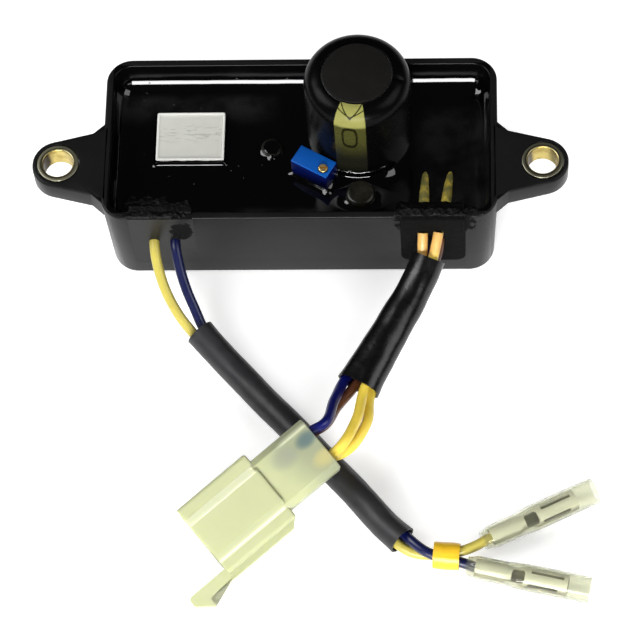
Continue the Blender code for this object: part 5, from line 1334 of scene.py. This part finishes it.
def sleeve(name, stations, bore, wall, finish, node, seed, flatten=None):
    """A soft tube's outside and inside as one closed ring of rings, creased and a little flared at its ends."""
    path = smooth_route(stations, 0.9 * mm)[0]
    n = len(path)
    sides = 48
    s = np.linspace(0.0, 1.0, n)
    angles = np.linspace(0.0, 2 * math.pi, sides, endpoint=False)
    outer = tube(path, bore + wall, sides)
    crease = ripples(outer, 7.5 * mm, seed) * 0.16 * mm + ripples(outer, 3.2 * mm, seed + 1) * 0.05 * mm
    flare = np.exp(-s * n / 3.0)[:, None] + np.exp(-(1 - s) * n / 3.0)[:, None]
    radius = bore + wall + crease + 0.18 * mm * flare
    if flatten is not None:
        wider, flatter = flatten
        grow = s[:, None] ** 1.5
        radius = radius + grow * (wider * np.cos(angles) ** 2 - flatter * np.sin(angles) ** 2)
    else:
        radius = np.maximum(radius, bore + 0.12 * mm)
    outside = tube(path, radius, sides)
    inside = tube(path, radius - wall, sides)
    grid = np.concatenate((outside, inside[::-1]))
    return piece(name, surface(name, grid, wrap_rows=True), finish, [node], "tube_black", sharp=50.0)


def make_tubes():
    # The left tube's colour is lifted for dust and partly as a painted sheen.
    dusty_sheen_skin = soft_black("dusty_sheen_tube_skin", 320.0, 0.36, 2.8)
    clean = soft_black("clean_tube_skin", 320.0, 0.20, 0.25)
    stations, end = left_bundle()
    sleeve("tube_sleeve_left", stations[:end + 1], 2.95 * mm, 0.42 * mm, dusty_sheen_skin, "harness_tube_left", 21)
    stations = smooth_route(metres(RIGHT_RUN), STATION)[0]
    sleeve("tube_sleeve_right", stations, 3.42 * mm, 0.42 * mm, clean, "harness_tube_right", 31,
           (1.25 * mm, 0.65 * mm))


def make_tape():
    """Two and a bit turns of tape: an outer ring with a step where its end lies."""
    low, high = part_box("tape_band")
    sides, rows = 72, 26
    angles = np.linspace(0.0, 2 * math.pi, sides, endpoint=False)
    s = np.linspace(-1.0, 1.0, rows)
    heading = math.radians(-5.0)
    middle = metres(LEFT_TAPE_RUN[3])
    path = middle + s[:, None] * 2.95 * mm * np.array((math.cos(heading), math.sin(heading), 0.0))
    outer = tube(path, 3.12 * mm, sides)
    lap = 0.10 * mm * (np.mod(angles - 1.1, 2 * math.pi) / (2 * math.pi))
    soft = ripples(outer, 3.4 * mm, 41) * 0.07 * mm
    squeeze = -0.12 * mm * s[:, None] ** 4
    outside = tube(path, 3.05 * mm + lap + soft + squeeze, sides)
    inside = tube(path, np.full((rows, sides), 2.84 * mm), sides)
    grid = np.concatenate((outside, inside[::-1]))
    piece("tape_wrap", surface("tape", grid, wrap_rows=True), tape_film(), ["tape_band"], "tape_yellow")


def socket_matrix(side):
    spot, heading = SOCKETS[side]
    turn = Euler((0.0, math.radians(90.0), heading)).to_matrix().to_4x4()
    return Matrix.Translation(metres(spot).tolist()) @ turn


def make_sockets():
    """Bullet sockets: a rolled barrel with a slit, an open neck and a crimp, in clear tapered covers."""
    metal = tinned_barrel()
    clear = clear_cover()
    length, barrel, crimp, step = 21.0 * mm, 10.8 * mm, 6.6 * mm, 0.8 * mm
    for side in SOCKETS:
        place = socket_matrix(side)
        outside = [(2.05 * mm, 0.0), (2.05 * mm, crimp), (1.75 * mm, crimp + step), (1.75 * mm, barrel - 1.5 * step),
                   (2.4 * mm, barrel), (2.4 * mm, length - 0.4 * mm), (2.3 * mm, length)]
        inside = [(2.08 * mm, length), (2.0 * mm, length - 0.3 * mm), (2.0 * mm, barrel + step),
                  (1.35 * mm, barrel - step), (1.35 * mm, crimp + step), (1.5 * mm, crimp), (1.5 * mm, 0.0)]
        grid = turned(outside + inside, 96)
        folded = np.clip((crimp - grid[..., 2]) / (0.8 * mm), 0.0, 1.0)[..., None]
        grid[..., :2] *= 1.0 - 0.07 * folded * (1.0 + ripples(grid, 2.6 * mm, 55)[..., None])
        shell = surface("shell", grid, wrap_rows=True)
        tools = []
        for angle, half, start, end, edge in ((-14.0, 0.46, 12.6, 20.0, 0.08), (66.0, 0.46, 12.2, 19.0, 0.08),
                                              (26.0, 1.45, 8.3, 11.3, 0.6)):
            opening = rounded_block((-4.8 * mm, -half * mm, start * mm), (-0.3 * mm, half * mm, end * mm), edge * mm, 3)
            tools.append(surface("opening", moved(opening, Matrix.Rotation(math.radians(angle), 4, "Z"))))
        mesh = cut(shell, tools)
        mesh.transform(place)
        piece("bullet_" + side, mesh, metal, ["socket_" + side], "tin", sharp=30.0)
        wide, middle, narrow, wall = 3.05 * mm, 2.70 * mm, 2.15 * mm, 0.35 * mm
        knots = [(-2.0 * mm, narrow), (-1.4 * mm, narrow), (0.2 * mm, middle), (7.6 * mm, middle),
                 (10.2 * mm, wide), (24.5 * mm, wide), (26.0 * mm, wide - 0.03 * mm)]
        z = np.linspace(-2.0 * mm, 26.0 * mm, 80)
        r = np.interp(z, [k[0] for k in knots], [k[1] for k in knots])
        kernel = np.hanning(9) / np.hanning(9).sum()
        r = np.convolve(np.pad(r, 4, mode="edge"), kernel, mode="valid")
        profile = np.concatenate((np.column_stack((r, z)), np.column_stack((r - wall, z))[::-1]))
        grid = moved(turned(profile, 64), place)
        piece("cover_" + side, surface("cover", grid, wrap_rows=True), clear, ["socket_cover_" + side],
              "cover_clear", sharp=50.0)


# Connector

def connector_matrix():
    return Matrix.Translation(CONNECTOR) @ Euler(CONNECTOR_TURN).to_matrix().to_4x4()


def lofted(outline, start, end, rear=0.0):
    """An end view carried along the connector's own X axis, drawn in over a quarter round at its rear."""
    stops = [(start + rear * (1 - math.sin(a)), rear * (1 - math.cos(a)))
             for a in np.linspace(math.pi / 2, 0.0, 6 if rear else 1)] + [(end, 0.0)]
    rings = []
    for x, inset in stops:
        shape = outline(inset)
        rings.append(np.column_stack((np.full(len(shape), x), shape)))
    return surface("section", closed_ends(np.array(rings)))


def shroud_outline(inset):
    half, top = 9.15 * mm - inset, 6.1 * mm - inset
    crown, bevel, shelf = 4.4 * mm - inset / 3, 1.7 * mm, 6.1 * mm - inset - 1.6 * mm
    corner = max(1.0 * mm - inset / 2, 0.3 * mm)
    right = [(half, -top, corner), (half, shelf, corner), (crown + bevel, shelf, 0.25 * mm), (crown, top, 0.35 * mm)]
    return rounded_corners(right + [(-y, z, radius) for y, z, radius in reversed(right)])


def hollow_outline(inset):
    return shroud_outline(inset + 1.3 * mm)


def neck_outline(inset):
    half, top, cut_off = 7.0 * mm - inset, 5.2 * mm - inset, 1.5 * mm
    right = [(half - cut_off, -top, 0.6 * mm), (half, cut_off - top, 0.6 * mm), (half, top - cut_off, 0.6 * mm),
             (half - cut_off, top, 0.6 * mm)]
    return rounded_corners(right + [(-y, z, radius) for y, z, radius in reversed(right)])


def box_mesh(low, high, edge=0.04 * mm, steps=1):
    return surface("box", rounded_block(low, high, edge, steps))


def latch_arm():
    """The arm from above, a strip outside the side wall with a hook at its end, carried over its height."""
    wall = 9.15 * mm
    inner, outer = wall - 1.55 * mm, wall + 1.5 * mm
    root, end = 15.3 * mm, 44.9 * mm
    back = end - 3.9 * mm
    outline = rounded_corners([
        (root, inner, 0.0), (end, inner, 1.0 * mm), (end, outer - 0.75 * mm, 0.4 * mm),
        (back, outer + 2.35 * mm, 0.3 * mm), (back, outer, 0.3 * mm), (root + 1.5 * mm, outer, 1.0 * mm),
        (root, wall, 0.3 * mm)])
    rings = np.array([at_height(outline, z) for z in (-2.1 * mm, 2.1 * mm)])
    return surface("arm", closed_ends(rings))


def make_connector():
    """Four-way shell: shroud, neck and latch arm joined, the shroud hollowed, cells cut, edges rounded."""
    neck_end, mouth = 14.7 * mm, 34.3 * mm
    body = lofted(shroud_outline, neck_end, mouth, 0.7 * mm)
    body = cut(body, [lofted(neck_outline, 0.0, neck_end + 1.3 * mm, 0.4 * mm)], "UNION")
    floor = neck_end + 2.6 * mm
    body = cut(body, [lofted(hollow_outline, floor, mouth + 2.0 * mm)])
    body = cut(body, [latch_arm()], "UNION")
    tools = []
    for y in (-3.6 * mm, 3.6 * mm):
        for z in (-2.3 * mm, 2.3 * mm):
            tools.append(box_mesh((-2.0 * mm, y - 2.6 * mm, z - 1.7 * mm), (neck_end, y + 2.6 * mm, z + 1.7 * mm)))
            tools.append(box_mesh((neck_end - 2.0 * mm, y - 2.7 * mm, z - 0.7 * mm),
                                  (floor + 2.0 * mm, y + 2.7 * mm, z + 0.7 * mm)))
    body = cut(body, tools)
    body.transform(connector_matrix())
    thing = piece("connector_shell", body, nylon(), ["connector_housing"], "nylon", sharp=28.0)
    bevel = thing.modifiers.new("edges", "BEVEL")
    bevel.width = 0.18 * mm
    bevel.segments = 2
    bevel.limit_method = "ANGLE"
    bevel.angle_limit = math.radians(40.0)
    dress(plated("tinned_blade", (0.80, 0.78, 0.70), (0.60, 0.57, 0.48), 0.20), "blade_terminal_1",
          "blade_terminal_2", "blade_terminal_3", "blade_terminal_4")


# Stage

def make_stage():
    """Camera at the photograph's angle, pale floor, softboxes and an even sky."""
    azimuth, elevation, roll = math.radians(5.547), math.radians(62.286), math.radians(-5.181)
    back = Vector((math.sin(azimuth) * math.cos(elevation), -math.cos(azimuth) * math.cos(elevation),
                   math.sin(elevation)))
    right = Vector((math.cos(azimuth), math.sin(azimuth), 0.0))
    up = back.cross(right)
    level = right * math.cos(roll) + up * math.sin(roll)
    upward = up * math.cos(roll) - right * math.sin(roll)
    camera = bpy.data.objects.new("camera", bpy.data.cameras.new("camera"))
    bpy.context.scene.collection.objects.link(camera)
    turn = Matrix((level, upward, back)).transposed().to_4x4()
    middle = Vector((4.060 * mm, -33.715 * mm, 0.0))
    camera.matrix_world = Matrix.Translation(middle + back * 750.658 * mm) @ turn
    camera.data.sensor_width = 36.0
    camera.data.lens = 3205.806 * 36.0 / 640.0
    camera.data.clip_start = 0.05
    camera.data.clip_end = 20.0
    bpy.context.scene.camera = camera
    bpy.context.scene.view_settings.view_transform = "Standard"

    floor = bpy.data.objects.new("floor", surface("floor", closed_ends(np.array([
        at_height(rounded_rectangle(2.5, 2.5, 0.5), z) for z in (-0.01, -0.0001)]))))
    bpy.context.scene.collection.objects.link(floor)
    finish = Finish("pale_floor")
    camera_ray = finish.node("ShaderNodeLightPath", output="Is Camera Ray")
    glossy_ray = finish.node("ShaderNodeLightPath", output="Is Glossy Ray")
    clear_ray = finish.node("ShaderNodeLightPath", output="Is Transmission Ray")
    shown = camera_ray.higher(glossy_ray).higher(clear_ray)
    finish.set(Base_Color=(0.80, 0.80, 0.80), Roughness=0.9, Specular_IOR_Level=0.0,
               Emission_Color=(1.0, 1.0, 1.0), Emission_Strength=shown * 0.47)
    floor.data.materials.append(finish.material)

    world = bpy.data.worlds.new("sky")
    bpy.context.scene.world = world
    world.use_nodes = True
    tree = world.node_tree
    tree.nodes.clear()
    sky = tree.nodes.new("ShaderNodeBackground")
    sky.inputs["Color"].default_value = (1.0, 1.0, 1.0, 1.0)
    sky.inputs["Strength"].default_value = 0.03
    out = tree.nodes.new("ShaderNodeOutputWorld")
    tree.links.new(sky.outputs[0], out.inputs["Surface"])

    for name, spot, size, power in (
            ("key_softbox", (-0.80, 0.10, 0.90), (0.70, 0.70), 10.5),
            ("fill_softbox", (0.85, -0.05, 0.85), (0.70, 0.70), 5.0),
            ("front_strip", (-0.05, -0.80, 0.31), (0.55, 0.28), 11.0),
            ("front_wide", (0.0, -0.85, 0.34), (1.60, 0.12), 1.6)):
        light = bpy.data.lights.new(name, "AREA")
        light.shape = "RECTANGLE"
        light.size, light.size_y = size
        light.energy = power
        lamp = bpy.data.objects.new(name, light)
        bpy.context.scene.collection.objects.link(lamp)
        spot = Vector(spot)
        lamp.location = spot
        lamp.rotation_euler = (Vector((0.0, -0.03, 0.01)) - spot).to_track_quat("-Z", "Y").to_euler()


# Operators, one for each piece or group of like pieces

class REGULATOR_OT_stage(bpy.types.Operator):
    """Camera, floor and lights."""

    bl_idname = "regulator.stage"
    bl_label = "Stage"

    def execute(self, context):
        make_stage()
        return {"FINISHED"}


class REGULATOR_OT_tubes(bpy.types.Operator):
    """Soft black tubes round the wires."""

    bl_idname = "regulator.tubes"
    bl_label = "Black tubes"

    def execute(self, context):
        make_tubes()
        return {"FINISHED"}


class REGULATOR_OT_tape(bpy.types.Operator):
    """Yellow tape round the left pair."""

    bl_idname = "regulator.tape"
    bl_label = "Tape"

    def execute(self, context):
        make_tape()
        return {"FINISHED"}


class REGULATOR_OT_sockets(bpy.types.Operator):
    """Bullet sockets and their clear covers."""

    bl_idname = "regulator.sockets"
    bl_label = "Bullet sockets"

    def execute(self, context):
        make_sockets()
        return {"FINISHED"}


class REGULATOR_OT_connector(bpy.types.Operator):
    """Four-way connector with its blades."""

    bl_idname = "regulator.connector"
    bl_label = "Connector"

    def execute(self, context):
        make_connector()
        return {"FINISHED"}


class REGULATOR_OT_wall_seals(bpy.types.Operator):
    """Plugs and sealant in the wire slots."""

    bl_idname = "regulator.wall_seals"
    bl_label = "Wall seals"

    def execute(self, context):
        make_wall_seals()
        return {"FINISHED"}


class REGULATOR_OT_wires(bpy.types.Operator):
    """Six wires and their stubs in the resin."""

    bl_idname = "regulator.wires"
    bl_label = "Wires"

    def execute(self, context):
        make_wires()
        return {"FINISHED"}


class REGULATOR_OT_housing(bpy.types.Operator):
    """Moulded tub with its two ears."""

    bl_idname = "regulator.housing"
    bl_label = "Housing"

    def execute(self, context):
        make_housing()
        return {"FINISHED"}


class REGULATOR_OT_bushings(bpy.types.Operator):
    """Brass bushings in the ears."""

    bl_idname = "regulator.bushings"
    bl_label = "Bushings"

    def execute(self, context):
        make_bushings()
        return {"FINISHED"}


class REGULATOR_OT_resin(bpy.types.Operator):
    """Glossy potting resin."""

    bl_idname = "regulator.resin"
    bl_label = "Resin"

    def execute(self, context):
        make_resin()
        return {"FINISHED"}


class REGULATOR_OT_board_parts(bpy.types.Operator):
    """Board and the parts under the resin."""

    bl_idname = "regulator.board_parts"
    bl_label = "Board parts"

    def execute(self, context):
        make_board_parts()
        return {"FINISHED"}


class REGULATOR_OT_capacitor(bpy.types.Operator):
    """Main capacitor with its film and end disc."""

    bl_idname = "regulator.capacitor"
    bl_label = "Capacitor"

    def execute(self, context):
        make_capacitor()
        return {"FINISHED"}


class REGULATOR_OT_block(bpy.types.Operator):
    """Ceramic trough and its cement."""

    bl_idname = "regulator.block"
    bl_label = "Cement resistor"

    def execute(self, context):
        make_block()
        return {"FINISHED"}


class REGULATOR_OT_trimmer(bpy.types.Operator):
    """Blue trimmer and its screw."""

    bl_idname = "regulator.trimmer"
    bl_label = "Trimmer"

    def execute(self, context):
        make_trimmer()
        return {"FINISHED"}


class REGULATOR_OT_small_cans(bpy.types.Operator):
    """Small capacitors in the resin."""

    bl_idname = "regulator.small_cans"
    bl_label = "Small cans"

    def execute(self, context):
        make_small_cans()
        return {"FINISHED"}


OPERATORS = [
    REGULATOR_OT_stage, REGULATOR_OT_tubes, REGULATOR_OT_tape, REGULATOR_OT_sockets, REGULATOR_OT_connector,
    REGULATOR_OT_wall_seals, REGULATOR_OT_wires, REGULATOR_OT_housing, REGULATOR_OT_bushings, REGULATOR_OT_resin,
    REGULATOR_OT_board_parts, REGULATOR_OT_capacitor, REGULATOR_OT_block, REGULATOR_OT_trimmer,
    REGULATOR_OT_small_cans
]


class REGULATOR_PT_panel(bpy.types.Panel):
    """The regulator's sizes, colours and pieces."""

    bl_label = "Voltage regulator"
    bl_idname = "REGULATOR_PT_panel"
    bl_space_type = "VIEW_3D"
    bl_region_type = "UI"
    bl_category = "Regulator"

    def draw(self, context):
        for group in GROUPS:
            box = self.layout.box()
            box.label(text=group.replace("_", " ").capitalize())
            for key in GROUPS[group].__annotations__:
                box.prop(getattr(context.scene, group), key)
        for kind in OPERATORS:
            self.layout.operator(kind.bl_idname)


GROUPS = {
    "regulator_tub": RegulatorTub,
    "regulator_resin": RegulatorResin,
    "regulator_capacitor": RegulatorCapacitor,
    "regulator_wires": RegulatorWires,
    "regulator_connector": RegulatorConnector,
}


def register():
    for kind in [*GROUPS.values(), *OPERATORS, REGULATOR_PT_panel]:
        bpy.utils.register_class(kind)
    for name, kind in GROUPS.items():
        setattr(bpy.types.Scene, name, bpy.props.PointerProperty(type=kind))


def unregister():
    for name in GROUPS:
        delattr(bpy.types.Scene, name)
    for kind in reversed([*GROUPS.values(), *OPERATORS, REGULATOR_PT_panel]):
        bpy.utils.unregister_class(kind)


def main():
    register()
    for kind in OPERATORS:
        getattr(bpy.ops.regulator, kind.bl_idname.split(".")[1])()


if __name__ == "__main__":
    main()
